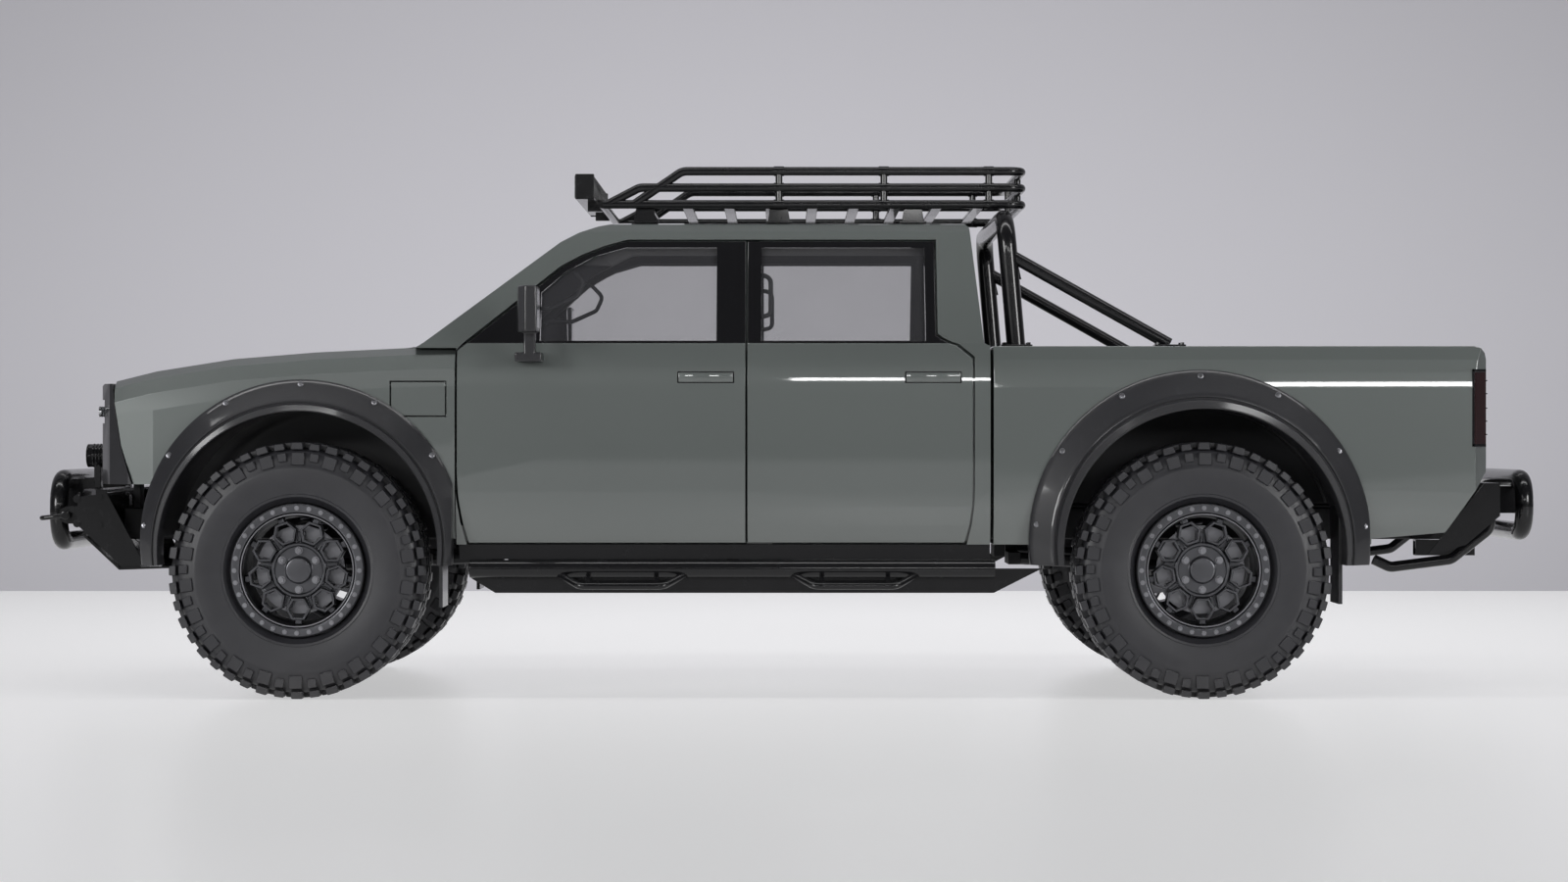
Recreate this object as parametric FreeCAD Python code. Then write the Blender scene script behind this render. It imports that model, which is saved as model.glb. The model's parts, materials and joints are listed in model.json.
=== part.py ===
import FreeCAD, Part
import math
import os

# Lifted four-door off-road pickup, in millimetres.
# The front points to -X, the left side to -Y, +Z is up and the floor is z = 0.

V = FreeCAD.Vector

# Stance and wheels
wheelbase = 3430.0
front_axle_x = -1842.0
rear_axle_x = front_axle_x + wheelbase
tyre_radius = 487.0
tyre_width = 330.0
track_half = 865.0
steer_limit_deg = 28.0

# Body places along X
nose_x = -2648.0
fascia_split_x = -2562.0
hood_front_x = -2552.0
hood_back_x = -1452.0
cowl_front_x = -1436.0
screen_base_x = -1386.0
screen_top_x = -862.0
roof_front_x = -640.0
roof_back_x = 640.0
cab_back_top_x = 716.0
cab_back_x = 762.0
door_front_x = -1246.0
door_split_x = -143.0
door_back_x = 721.0
cab_corner_x = 784.0
bed_front_x = 796.0
bed_tail_run = 1086.0
bed_back_x = rear_axle_x + bed_tail_run

# Body half widths
body_half = 970.0
sill_tuck = 38.0
belt_tuck = 30.0
belt_ledge = 14.0
glass_top_half = 742.0
roof_edge_half = 642.0
nose_taper = 85.0
nose_half = body_half - nose_taper
fender_top = 170.0
hood_half = body_half - fender_top

# Body heights
sill_z = 583.0
side_low_z = 800.0
side_high_z = 1180.0
nose_z = 1196.0
cowl_z = 1336.0
belt_z = 1349.0
screen_top_z = 1744.0
glass_top_z = 1746.0
roof_edge_z = 1822.0
roof_z = 1841.0
cab_floor_z = 735.0
bed_rail_z = 1338.0
bed_floor_z = 905.0

# Panels, gaps and fits
panel_gap = 8.0
seat_gap = 0.3
door_skin = 25.0
door_depth = 90.0
door_frame_depth = 55.0
door_return = 24.0
pillar_depth = 112.0
roof_depth = 62.0
fender_wall = 22.0
hood_wall = 28.0
floor_wall = 20.0
glass_wall = 6.0
glass_inset = 12.0
overrun = 400.0


# Shapes from sizes

def xz(u, v):
    return V(u, 0, v)


def yz(u, v):
    return V(0, u, v)


def xy(u, v):
    return V(u, v, 0)


def arc_points(start, way, end, steps):
    """Points on the arc from start to end through way, without its start."""
    circle = Part.Arc(start, way, end)
    first, last = circle.FirstParameter, circle.LastParameter
    return [circle.value(first + (last - first) * (n + 1) / steps) for n in range(steps)]


def face_of(plane, *steps):
    """A face bounded by straight steps (u, v) and arcs ((u, v) on the way, (u, v) at the end)."""
    points = [plane(*steps[0])]
    for step in steps[1:]:
        if isinstance(step[0], tuple):
            points += arc_points(points[-1], plane(*step[0]), plane(*step[1]), arc_steps)
        else:
            points.append(plane(*step))
    return Part.Face(Part.makePolygon(points + points[:1]))


def along(face, direction, start, end):
    moved = face.copy()
    moved.translate(direction * start)
    return moved.extrude(direction * (end - start))


def along_x(face, start, end):
    return along(face, V(1, 0, 0), start, end)


def along_y(face, start, end):
    return along(face, V(0, 1, 0), start, end)


def along_z(face, start, end):
    return along(face, V(0, 0, 1), start, end)


def block(x0, x1, y0, y1, z0, z1):
    return Part.makeBox(x1 - x0, y1 - y0, z1 - z0, V(x0, y0, z0))


def ring_points(centre, axis, radius, sides, turn=0):
    """Corners of a regular polygon round an axis."""
    first = axis.cross(V(0, 0, 1)) if abs(axis.z) < axis.Length / 2 else axis.cross(V(1, 0, 0))
    first = first.normalize() * radius
    second = axis.cross(first).normalize() * radius
    angles = [turn + math.tau * n / sides for n in range(sides)]
    return [centre + first * math.cos(a) + second * math.sin(a) for a in angles]


def flat_face(points):
    return Part.Face(Part.makePolygon(points + points[:1]))


def skinned(rings, closed=False):
    """A solid of flat faces through rings of points, capped at both ends or closed on itself."""
    pairs = list(zip(rings, rings[1:] + rings[:1])) if closed else list(zip(rings, rings[1:]))
    faces = [] if closed else [flat_face(rings[0]), flat_face(rings[-1])]
    for near, far in pairs:
        for n in range(len(near)):
            faces.append(flat_face([near[n - 1], near[n], far[n], far[n - 1]]))
    solid = Part.Solid(Part.Shell(faces))
    return solid if solid.Volume > 0 else solid.reversed()


def rod(start, end, radius, sides=0):
    """A round bar between two points."""
    a, b = V(*start), V(*end)
    face = flat_face(ring_points(a, b - a, radius, sides or rod_sides))
    return face.extrude(b - a)


def disc_y(x, z, radius, y0, y1, sides=0):
    return rod((x, y0, z), (x, y1, z), radius, sides)


def round_y(x, z, radius, y0, y1):
    """A true cylinder, for arches and for bores that are mounts."""
    return Part.makeCylinder(radius, abs(y1 - y0), V(x, min(y0, y1), z), V(0, 1, 0))


def bore_radius(pin_radius, sides=0):
    """The corner radius of a bore whose flats clear a pin all round."""
    return (pin_radius + seat_gap) / math.cos(math.pi / (sides or rod_sides))


def mirrored(shape):
    return shape.mirror(V(0, 0, 0), V(0, 1, 0))


def both_sides(shape):
    return Part.makeCompound([shape, mirrored(shape)])


def joined(*shapes):
    return shapes[0].fuse(list(shapes[1:])).removeSplitter()


def cut(shape, *tools):
    return shape.cut(list(tools))


def mitre(ring, direction, point, normal):
    """The ring's points slid along direction onto the plane through point."""
    return [p + direction * ((point - p).dot(normal) / direction.dot(normal)) for p in ring]


def tube_along(path, radius, closed=False):
    """A tube of straight runs that meet in mitres."""
    runs = [(b - a).normalize() for a, b in zip(path, path[1:] + path[:1])]
    if closed:
        normals = [(before + after).normalize() for before, after in zip(runs[-1:] + runs[:-1], runs)]
    else:
        normals = [runs[0]] + [(before + after).normalize() for before, after in zip(runs[:-2], runs[1:-1])]
        normals.append(runs[-2])
    ring = mitre(ring_points(path[0], runs[0], radius, rod_sides), runs[0], path[0], normals[0])
    rings = [ring]
    for spot, run, normal in zip(path[1:], runs, normals[1:]):
        ring = mitre(ring, run, spot, normal)
        rings.append(ring)
    return skinned(rings, closed)


def bent_path(points, bend, closed=False):
    """Points of a path whose corners are rounded to one radius."""
    spots = [V(*p) for p in points]
    corners = list(zip(spots[-1:] + spots[:-1], spots, spots[1:] + spots[:1])) if closed else \
        list(zip(spots, spots[1:], spots[2:]))
    path = [] if closed else [spots[0]]
    for before, corner, after in corners:
        back, ahead = (before - corner).normalize(), (after - corner).normalize()
        half_turn = (math.pi - back.getAngle(ahead)) / 2
        reach = bend * math.tan(half_turn)
        start, end = corner + back * reach, corner + ahead * reach
        middle = corner + (back + ahead).normalize() * (bend / math.cos(half_turn) - bend)
        path += [start] + arc_points(start, middle, end, bend_steps)
    return path if closed else path + [spots[-1]]


def bent_tube(points, radius, bend):
    return tube_along(bent_path(points, bend), radius)


def closed_tube(half_y, z0, z1, x, radius):
    """A stadium-shaped tube loop that stands across the vehicle."""
    bend = (z1 - z0) / 2 * loop_round_share
    corners = [(x, -half_y, z0), (x, half_y, z0), (x, half_y, z1), (x, -half_y, z1)]
    return tube_along(bent_path(corners, bend, True), radius, True)


arc_steps = 3
bend_steps = 3
rod_sides = 8
pin_sides = 12
loop_round_share = 0.88


# Cab and door envelope

def cab_section(low, high):
    """Right half of the cab's cross-section, set in by low under the belt and by high above it."""
    side = body_half - low
    glass_foot = side + low - belt_tuck - belt_ledge - high
    return face_of(
        yz,
        (0, sill_z),
        (side - sill_tuck, sill_z),
        ((side - sill_tuck / 4, (sill_z + side_low_z) / 2), (side, side_low_z)),
        (side, side_high_z),
        ((side - belt_tuck / 4, (side_high_z + belt_z) / 2), (side - belt_tuck, belt_z - low / 9)),
        (glass_foot, belt_z),
        (glass_top_half - high, glass_top_z),
        ((glass_top_half - high - (glass_top_half - roof_edge_half) * rail_round_share,
          roof_edge_z - (roof_edge_z - glass_top_z) * rail_round_share - high / 2),
         (roof_edge_half - high / 2, roof_edge_z - high)),
        ((roof_edge_half / 2, roof_z - (roof_z - roof_edge_z) / 4 - high), (0, roof_z - high)),
    )


rail_round_share = 0.3
screen_foot_z = belt_z - belt_tuck / 4
fender_drop = 10.5
fender_seat_z = screen_foot_z - fender_drop


def cab_outline(wall):
    """Side view of the cab, set in by wall."""
    return face_of(
        xz,
        (door_front_x + wall, sill_z - overrun if wall else sill_z),
        (door_front_x + wall, cowl_z - cowl_drop - wall),
        (cowl_front_x + wall, cowl_z - cowl_drop - wall),
        (cowl_front_x + wall, cowl_z - cowl_drop / 2 - wall),
        (screen_base_x + wall, screen_foot_z - wall),
        (screen_top_x + wall, screen_top_z - wall),
        ((screen_top_x + (roof_front_x - screen_top_x) * brow_share + wall,
          screen_top_z + (roof_edge_z - screen_top_z) * brow_rise_share - wall),
         (roof_front_x, roof_edge_z - wall)),
        ((0, roof_z + roof_bow - wall), (roof_back_x, roof_edge_z + roof_bow - wall)),
        ((cab_back_top_x - tail_round / 2 - wall, roof_edge_z + roof_bow - tail_round / 5 - wall),
         (cab_back_top_x - wall, roof_edge_z - tail_round / 2 - wall)),
        (cab_back_x - wall, belt_z),
        (cab_corner_x - wall, belt_z - belt_tuck / 3),
        (cab_corner_x - wall, sill_z - overrun if wall else sill_z),
    )


cowl_drop = 42.0
brow_share = 0.42
brow_rise_share = 0.6
roof_bow = 10.0
tail_round = 44.0


def cab_half(low, high):
    """The right half of the cab's cross-section, drawn out past both ends."""
    return along_x(cab_section(low, high), cowl_front_x - overrun, cab_corner_x + overrun)


def cab_whole(low, high):
    half = cab_half(low, high)
    return joined(half, mirrored(half))


# Door outlines, in the side view

door_foot_z = 590.0
door_toe_x = -1203.0
door_toe_z = 850.0
sash_front_x = -1206.0
sash_knee_x = -604.0
sash_back_x = 578.0
window_sill_z = 1359.0
window_top_z = 1722.0
window_front_x = -930.0
window_front_z = 1545.0
window_arc_shares = (0.4, 0.6)
window_crest_x = -610.0
window_split_front_x = -258.0
window_split_back_x = -86.0
window_back_x = 540.0
window_round = 30.0
sash_crest_x = -850.0
sash_crest_z = 1643.0


def front_door_outline(grow):
    """Front door in side view; grow widens it all round."""
    half_gap = panel_gap / 2 - grow
    front, back = door_front_x + half_gap, door_split_x - half_gap
    return face_of(
        xz,
        (door_toe_x + half_gap, door_foot_z - grow),
        ((front + (door_toe_x - door_front_x) / 4, (door_foot_z + door_toe_z) / 2), (front, door_toe_z)),
        (front, belt_z - belt_tuck),
        (sash_front_x - grow, belt_z + grow),
        (sash_crest_x - grow, sash_crest_z + grow),
        ((sash_crest_x + (sash_knee_x - sash_crest_x) / 2 - grow / 2,
          sash_crest_z + (glass_top_z - sash_crest_z) * sash_rise_share + grow),
         (sash_knee_x, glass_top_z + grow)),
        (back, glass_top_z + grow),
        (back, door_foot_z - grow),
    )


sash_rise_share = 0.62


def rear_door_outline(grow):
    half_gap = panel_gap / 2 - grow
    front, back = door_split_x + half_gap, door_back_x - half_gap
    return face_of(
        xz,
        (front, door_foot_z - grow),
        (front, glass_top_z + grow),
        (sash_back_x + grow, glass_top_z + grow),
        (sash_back_x + grow, belt_z + belt_tuck + grow),
        ((sash_back_x + (back - sash_back_x) / 4 + grow / 2, belt_z + belt_tuck / 4 + grow),
         (back - belt_tuck * 2, belt_z - belt_tuck / 3 + grow)),
        (back, belt_z - belt_tuck * 2 + grow),
        (back, side_low_z),
        ((back - belt_tuck / 5, (side_low_z + door_foot_z) / 2), (back - belt_tuck, door_foot_z - grow)),
    )


def front_window(shrink):
    return face_of(
        xz,
        (window_front_x + shrink, window_sill_z + shrink),
        (window_front_x + shrink, window_front_z - shrink / 2),
        ((window_front_x + (window_crest_x - window_front_x) * window_arc_shares[0],
          window_front_z + (window_top_z - window_front_z) * window_arc_shares[1] - shrink),
         (window_crest_x + shrink, window_top_z - shrink)),
        (window_split_front_x - shrink, window_top_z - shrink),
        (window_split_front_x - shrink, window_sill_z + shrink),
    )


def rear_window(shrink):
    return face_of(
        xz,
        (window_split_back_x + shrink, window_sill_z + shrink),
        (window_split_back_x + shrink, window_top_z - shrink),
        (window_back_x - shrink, window_top_z - shrink),
        (window_back_x - shrink, window_sill_z + shrink),
    )


# Doors: an outer skin over a deeper inner box, with hinge pins in pockets at the front edge

hinge_setback = 46.0
hinge_depth = 16.0
hinge_pin_radius = 5.0
hinge_eye_radius = 10.0
hinge_eye_height = 40.0
hinge_pocket_height = 64.0
hinge_heights = (810.0, 1140.0)


def hinge_x(front_x):
    return front_x + panel_gap / 2 + hinge_setback


hinge_y = body_half - hinge_depth


def right_door(outline, window, front_x):
    shell = cab_half(0, 0)
    lining = cab_half(door_skin, door_skin)
    core = cab_half(door_depth, door_frame_depth)
    skin = shell.cut(lining).common(along_y(outline(0), hood_half / 2, body_half))
    box = lining.cut(core).common(along_y(outline(-door_return), hood_half / 2, body_half))
    door = cut(joined(skin, box), along_y(window(0), 0, body_half + overrun))
    axis_x = hinge_x(front_x)
    for height in hinge_heights:
        foot, top = height - hinge_pocket_height / 2, height + hinge_pocket_height / 2
        pocket = block(axis_x - hinge_setback * 2, axis_x + hinge_depth, hinge_y - door_depth * 2,
                       hinge_y + hinge_eye_radius + seat_gap * 4, foot, top)
        pin = rod((axis_x, hinge_y, foot - hinge_pin_radius), (axis_x, hinge_y, top + hinge_pin_radius),
                  hinge_pin_radius)
        door = joined(cut(door, pocket), pin)
    return door


def right_glass(window):
    outer, inner = cab_half(glass_inset, glass_inset), cab_half(glass_inset + glass_wall, glass_inset + glass_wall)
    return outer.cut(inner).common(along_y(window(seat_gap), hood_half / 2, body_half))


# The cab shell: floor, sills, pillars, cowl, roof and rear wall

sill_span = 148.0
sill_inner_y = body_half - sill_span
sill_wall = 14.0
rear_screen_half = 560.0
rear_screen_low_z = 1424.0
rear_screen_high_z = 1736.0
screen_low_z = 1385.0
screen_low_half = 815.0
screen_high_half = 640.0
screen_high_z = 1718.0


def screen_opening(shrink):
    low, high = screen_low_half - shrink, screen_high_half - shrink
    return face_of(yz, (-low, screen_low_z + shrink), (low, screen_low_z + shrink),
                   (high, screen_high_z - shrink), (-high, screen_high_z - shrink))


def rear_opening(shrink):
    half = rear_screen_half - shrink
    return face_of(yz, (-half, rear_screen_low_z + shrink), (half, rear_screen_low_z + shrink),
                   (half, rear_screen_high_z - shrink), (-half, rear_screen_high_z - shrink))


def slab(x0, z0, x1, z1, depth0, depth1):
    """A flat sheet across the vehicle, parallel to the line from (x0, z0) to (x1, z1)."""
    run = V(x1 - x0, 0, z1 - z0)
    inward = V(run.z, 0, -run.x).normalize()
    a, b = V(x0, 0, z0), V(x1, 0, z1)
    corners = [a + inward * depth0, b + inward * depth0, b + inward * depth1, a + inward * depth1]
    face = Part.Face(Part.makePolygon(corners + corners[:1]))
    return along_y(face, -body_half, body_half)


def cab_glass():
    front = slab(screen_base_x, screen_foot_z, screen_top_x, screen_top_z, glass_inset,
                 glass_inset + glass_wall)
    front = front.common(along_x(screen_opening(seat_gap), screen_base_x - overrun, roof_front_x))
    back = slab(cab_back_top_x, roof_edge_z, cab_back_x, belt_z, glass_inset, glass_inset + glass_wall)
    back = back.common(along_x(rear_opening(seat_gap), roof_back_x - overrun, cab_corner_x))
    return Part.makeCompound([front, back])


def hinge_arm(front_x, height):
    """An eye on an arm that reaches out from the pillar round a door's pin."""
    axis_x = hinge_x(front_x)
    foot, top = height - hinge_eye_height / 2, height + hinge_eye_height / 2
    eye = rod((axis_x, hinge_y, foot), (axis_x, hinge_y, top), hinge_eye_radius)
    reach = block(axis_x - hinge_eye_radius, axis_x + hinge_eye_radius / 2, body_half - pillar_depth, hinge_y,
                  foot, top)
    bore = rod((axis_x, hinge_y, foot - overrun), (axis_x, hinge_y, top + overrun), bore_radius(hinge_pin_radius))
    post = block(axis_x - hinge_setback - door_return, axis_x + hinge_eye_radius / 2, body_half - pillar_depth,
                 body_half - door_depth - panel_gap * 2, foot, top)
    return joined(cut(joined(eye, reach), bore), post)


hinge_clearance = 7.0
relief_sides = 16
sash_relief = 26.0


def door_relief(front_x, foot, top):
    """Room under the cab's skin for the front edge of a door, which turns inward round its hinge."""
    axis_x = hinge_x(front_x)
    reach = math.hypot(hinge_setback, sill_tuck + door_skin - hinge_depth) + hinge_clearance
    under = cab_half(door_skin, door_skin)
    low = rod((axis_x, hinge_y, foot), (axis_x, hinge_y, belt_z), reach, relief_sides)
    deep = under.cut(cab_half(door_skin + sash_relief, door_skin + sash_relief))
    high = deep.common(block(front_x - panel_gap / 2, axis_x, 0, body_half, belt_z - belt_tuck, top))
    return low.common(under), high


def cab_outside():
    return cab_whole(0, 0).common(along_y(cab_outline(0), -body_half, body_half))


def cab_shell():
    span = (cowl_front_x - overrun, cab_corner_x + overrun)
    outer = cab_outside()
    hollow = cab_whole(pillar_depth, roof_depth)
    hollow = hollow.common(along_y(cab_outline(roof_depth), -body_half, body_half))
    hollow = cut(hollow, block(*span, -body_half, body_half, sill_z - overrun, cab_floor_z))
    under = block(*span, -sill_inner_y, sill_inner_y, sill_z - overrun, cab_floor_z)
    shell = cut(outer, hollow, under)
    fender_zone = block(cowl_front_x - overrun, door_front_x, hood_half - panel_gap, body_half + overrun,
                        sill_z, fender_seat_z)
    shell = cut(shell, fender_zone, mirrored(fender_zone))
    skin_zone = cab_half(0, 0).cut(cab_half(door_skin + panel_gap, door_skin + panel_gap))
    floor_zone = block(*span, 0, sill_inner_y + sill_wall, sill_z - overrun, cab_floor_z)
    for outline in (front_door_outline, rear_door_outline):
        full = along_y(outline(panel_gap), 0, body_half + overrun).common(skin_zone)
        inner = along_y(outline(panel_gap - door_return), 0, body_half + overrun).cut(floor_zone)
        shell = cut(shell, full, mirrored(full), inner, mirrored(inner))
    reliefs = (*door_relief(door_front_x, door_foot_z + (door_toe_z - door_foot_z) / 4, belt_z),
               *door_relief(door_split_x, door_foot_z - panel_gap, glass_top_z + panel_gap))
    shell = cut(shell, *reliefs, *[mirrored(relief) for relief in reliefs])
    front = along_x(screen_opening(0), screen_base_x - overrun, roof_front_x)
    back = along_x(rear_opening(0), roof_back_x - roof_depth, cab_corner_x + overrun)
    eye_room = block(cowl_front_x - overrun, hood_hinge_x + hood_eye_radius + panel_gap, hood_lug_y - seat_gap,
                     hood_lug_y + hood_lug + seat_gap, hood_hinge_z - hood_eye_radius - panel_gap, roof_z)
    shell = cut(shell, front, back, eye_room, mirrored(eye_room))
    arms = [hinge_arm(x, height) for x in (door_front_x, door_split_x) for height in hinge_heights]
    return joined(shell, *arms, *[mirrored(a) for a in arms])


def cab_floor():
    return block(door_front_x, cab_corner_x, -sill_inner_y, sill_inner_y, cab_floor_z - floor_wall, cab_floor_z)


# Front clip: fenders, hood and fascia

clip_stations_share = (0.0, 0.15, 0.37, 0.60, 0.88, 1.0)
clip_rise_share = (0.0, 0.34, 0.67, 0.85, 0.98, 1.0)
clip_width_share = (0.0, 0.62, 0.93, 1.0, 1.0, 1.0)
shoulder_drop = 150.0
shoulder_run = 92.0
crown = 22.0
clip_front_x = -2604.0


def clip_section(x_share, rise_share, width_share, wall):
    x = clip_front_x + (door_front_x - clip_front_x) * x_share
    top = nose_z + (cowl_z - nose_z) * rise_share - wall
    side = nose_half + (body_half - nose_half) * width_share - wall
    foot = sill_z - (overrun if wall > 0 else 0)
    corner = side - sill_tuck

    def at(y, z):
        return V(x, y, z)

    points = [at(0, foot), at(corner, foot), at(side, side_low_z), at(side, top - shoulder_drop)]
    points += arc_points(points[-1],
                         at(side - shoulder_run * shoulder_in_share, top - shoulder_drop * shoulder_up_share),
                         at(side - shoulder_run, top), arc_steps)
    points += [at((side - shoulder_run) / 2, top + crown * 3 / 4), at(0, top + crown)]
    return Part.makePolygon(points + points[:1])


shoulder_in_share = 0.24
shoulder_up_share = 0.26


def clip_solid(wall):
    """Everything under the hood line, right half, set in by wall."""
    stations = zip(clip_stations_share, clip_rise_share, clip_width_share)
    return Part.makeLoft([clip_section(*s, wall) for s in stations], True, True)


arch_radius = 560.0
front_arch_x = -1837.0
rear_arch_shift = 3.0
rear_arch_x = rear_axle_x + rear_arch_shift
arch_z = 562.0
fender_lip_z = 812.0
charge_front_x = -1491.0
charge_back_x = -1287.0
charge_low_z = 1074.0
charge_high_z = 1200.0
charge_chamfer = 34.0
flap_gap = 6.0
flap_wall = 14.0
flap_pin_radius = 2.5
flap_pin_length = 12.0
flap_setback = 10.0
flap_pin_depth = 5.0


def flap_outline(grow):
    return face_of(
        xz,
        (charge_front_x - grow, charge_high_z + grow),
        (charge_back_x + grow, charge_high_z + grow),
        (charge_back_x + grow, charge_low_z - grow),
        (charge_front_x + charge_chamfer, charge_low_z - grow),
        (charge_front_x - grow, charge_low_z + charge_chamfer),
    )


flap_axis_z = charge_high_z - flap_setback
flap_axis_y = -body_half + flap_pin_depth


def flap_pins(radius, length):
    return rod((charge_front_x - length, flap_axis_y, flap_axis_z),
               (charge_back_x + length, flap_axis_y, flap_axis_z), radius)


def fascia_edge():
    """The slanted shut line between fender and fascia, as a region in front of it."""
    return face_of(
        xz,
        (fascia_split_x - overrun, nose_z + overrun),
        (fascia_split_x, nose_z + overrun),
        (fascia_split_x, nose_z),
        (fascia_split_x + fascia_lean * fascia_lean_shares[0], side_high_z - fascia_drop / 6),
        (fascia_split_x + fascia_lean * fascia_lean_shares[1], side_high_z - fascia_drop * 2 / 3),
        (fascia_split_x + fascia_lean, fender_lip_z),
        (fascia_split_x - overrun, fender_lip_z),
    )


fascia_lean = 82.0
fascia_lean_shares = (0.1, 0.42)
fascia_drop = 330.0


def right_fender():
    shell = clip_solid(0).cut(clip_solid(fender_wall))
    hood_zone = block(hood_front_x - overrun, door_front_x + overrun, 0, hood_half,
                      cowl_z - shoulder_drop * 2, roof_z)
    nose_zone = block(clip_front_x - overrun, fascia_split_x + fascia_lean, 0, hood_half, 0, roof_z)
    arch = round_y(front_arch_x, arch_z, arch_radius, 0, body_half + overrun)
    low = block(clip_front_x - overrun, front_arch_x, 0, body_half + overrun, 0, fender_lip_z)
    door_zone = along_y(front_door_outline(panel_gap), 0, body_half * 2)
    back = block(door_front_x - panel_gap / 2, 0, 0, body_half * 2, 0, roof_z)
    front = along_y(fascia_edge(), 0, body_half * 2)
    inner = block(clip_front_x, 0, 0, body_half - shoulder_run - fender_wall, 0, nose_z - shoulder_drop)
    cowl_zone = block(cowl_front_x - seat_gap, door_front_x, 0, body_half, fender_seat_z - seat_gap, roof_z)
    return cut(shell, hood_zone, nose_zone, arch, low, door_zone, back, front, inner, cowl_zone)


def front_fenders():
    right = right_fender()
    left = mirrored(right)
    left = cut(left, along_y(flap_outline(flap_gap), -body_half * 2, 0),
               flap_pins(bore_radius(flap_pin_radius), flap_gap + flap_pin_length))
    socket = block(charge_front_x - flap_gap * 2, charge_back_x + flap_gap * 2,
                   -body_half + fender_wall, -body_half + fender_wall * 2 + flap_wall * 2,
                   charge_low_z - flap_gap * 2, charge_high_z + flap_gap * 2)
    bowl = block(charge_front_x - flap_gap, charge_back_x + flap_gap,
                 -body_half + fender_wall - overrun, -body_half + fender_wall + flap_wall * 2,
                 charge_low_z - flap_gap, charge_high_z + flap_gap)
    left = joined(left, socket.cut(bowl).cut(left))
    return Part.makeCompound([left, right])


def charge_flap():
    layer = clip_solid(0).cut(clip_solid(flap_wall))
    plate = mirrored(layer).common(along_y(flap_outline(0), -body_half * 2, -hood_half))
    return joined(plate, flap_pins(flap_pin_radius, flap_pin_length))


hood_hinge_x = -1438.0
hood_hinge_z = 1330.0
hood_pin_radius = 8.0
hood_eye_radius = 13.0
hood_lug = 22.0
hood_lug_y = 620.0


def hood():
    shell = clip_solid(0).cut(clip_solid(hood_wall))
    region = block(hood_front_x, hood_back_x, 0, hood_half - panel_gap, nose_z - hood_skirt, roof_z)
    half = shell.common(region)
    whole = joined(half, mirrored(half))
    lug = block(hood_hinge_x - hood_lug * 2, hood_hinge_x, hood_lug_y, hood_lug_y + hood_lug,
                hood_hinge_z - hood_pin_radius, hood_hinge_z + hood_pin_radius)
    eye = disc_y(hood_hinge_x, hood_hinge_z, hood_eye_radius, hood_lug_y, hood_lug_y + hood_lug)
    bore = disc_y(hood_hinge_x, hood_hinge_z, bore_radius(hood_pin_radius, pin_sides), hood_lug_y - hood_lug,
                  hood_lug_y + hood_lug * 2, pin_sides)
    lug = cut(joined(lug, eye), bore)
    return cut(joined(whole, lug, mirrored(lug)), bore, mirrored(bore))


hood_skirt = 60.0

grille_bar = 20.0
grille_pitch = 46.0
grille_bars = 5
grille_low_z = 905.0
fascia_wall = 60.0
fascia_low_z = 812.0
lamp_low_z = 1045.0
lamp_high_z = 1135.0
lamp_outer_y = nose_half - nose_taper
lamp_run = 280.0
lamp_inner_y = lamp_outer_y - lamp_run
lamp_depth = 42.0
grille_margin = 50.0
grille_half = lamp_inner_y - grille_margin


def nose_plan(wall):
    """Plan view of the nose, set in by wall."""
    half, front = body_half - wall, nose_x + wall
    back_x = fascia_split_x + fascia_lean * 2
    right = [
        (back_x, half - nose_tuck / 3),
        ((back_x - (back_x - front) * nose_round_share, half - nose_tuck),
         (front + nose_bow, half - nose_tuck * 5 / 2)),
        ((front + nose_bow / 4, half / 2), (front, 0)),
    ]
    left = [
        ((front + nose_bow / 4, -half / 2), (front + nose_bow, -half + nose_tuck * 5 / 2)),
        ((back_x - (back_x - front) * nose_round_share, -half + nose_tuck),
         (back_x, -half + nose_tuck / 3)),
    ]
    return face_of(xy, *right, *left)


nose_tuck = 78.0
nose_round_share = 0.62
nose_bow = 26.0


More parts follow.
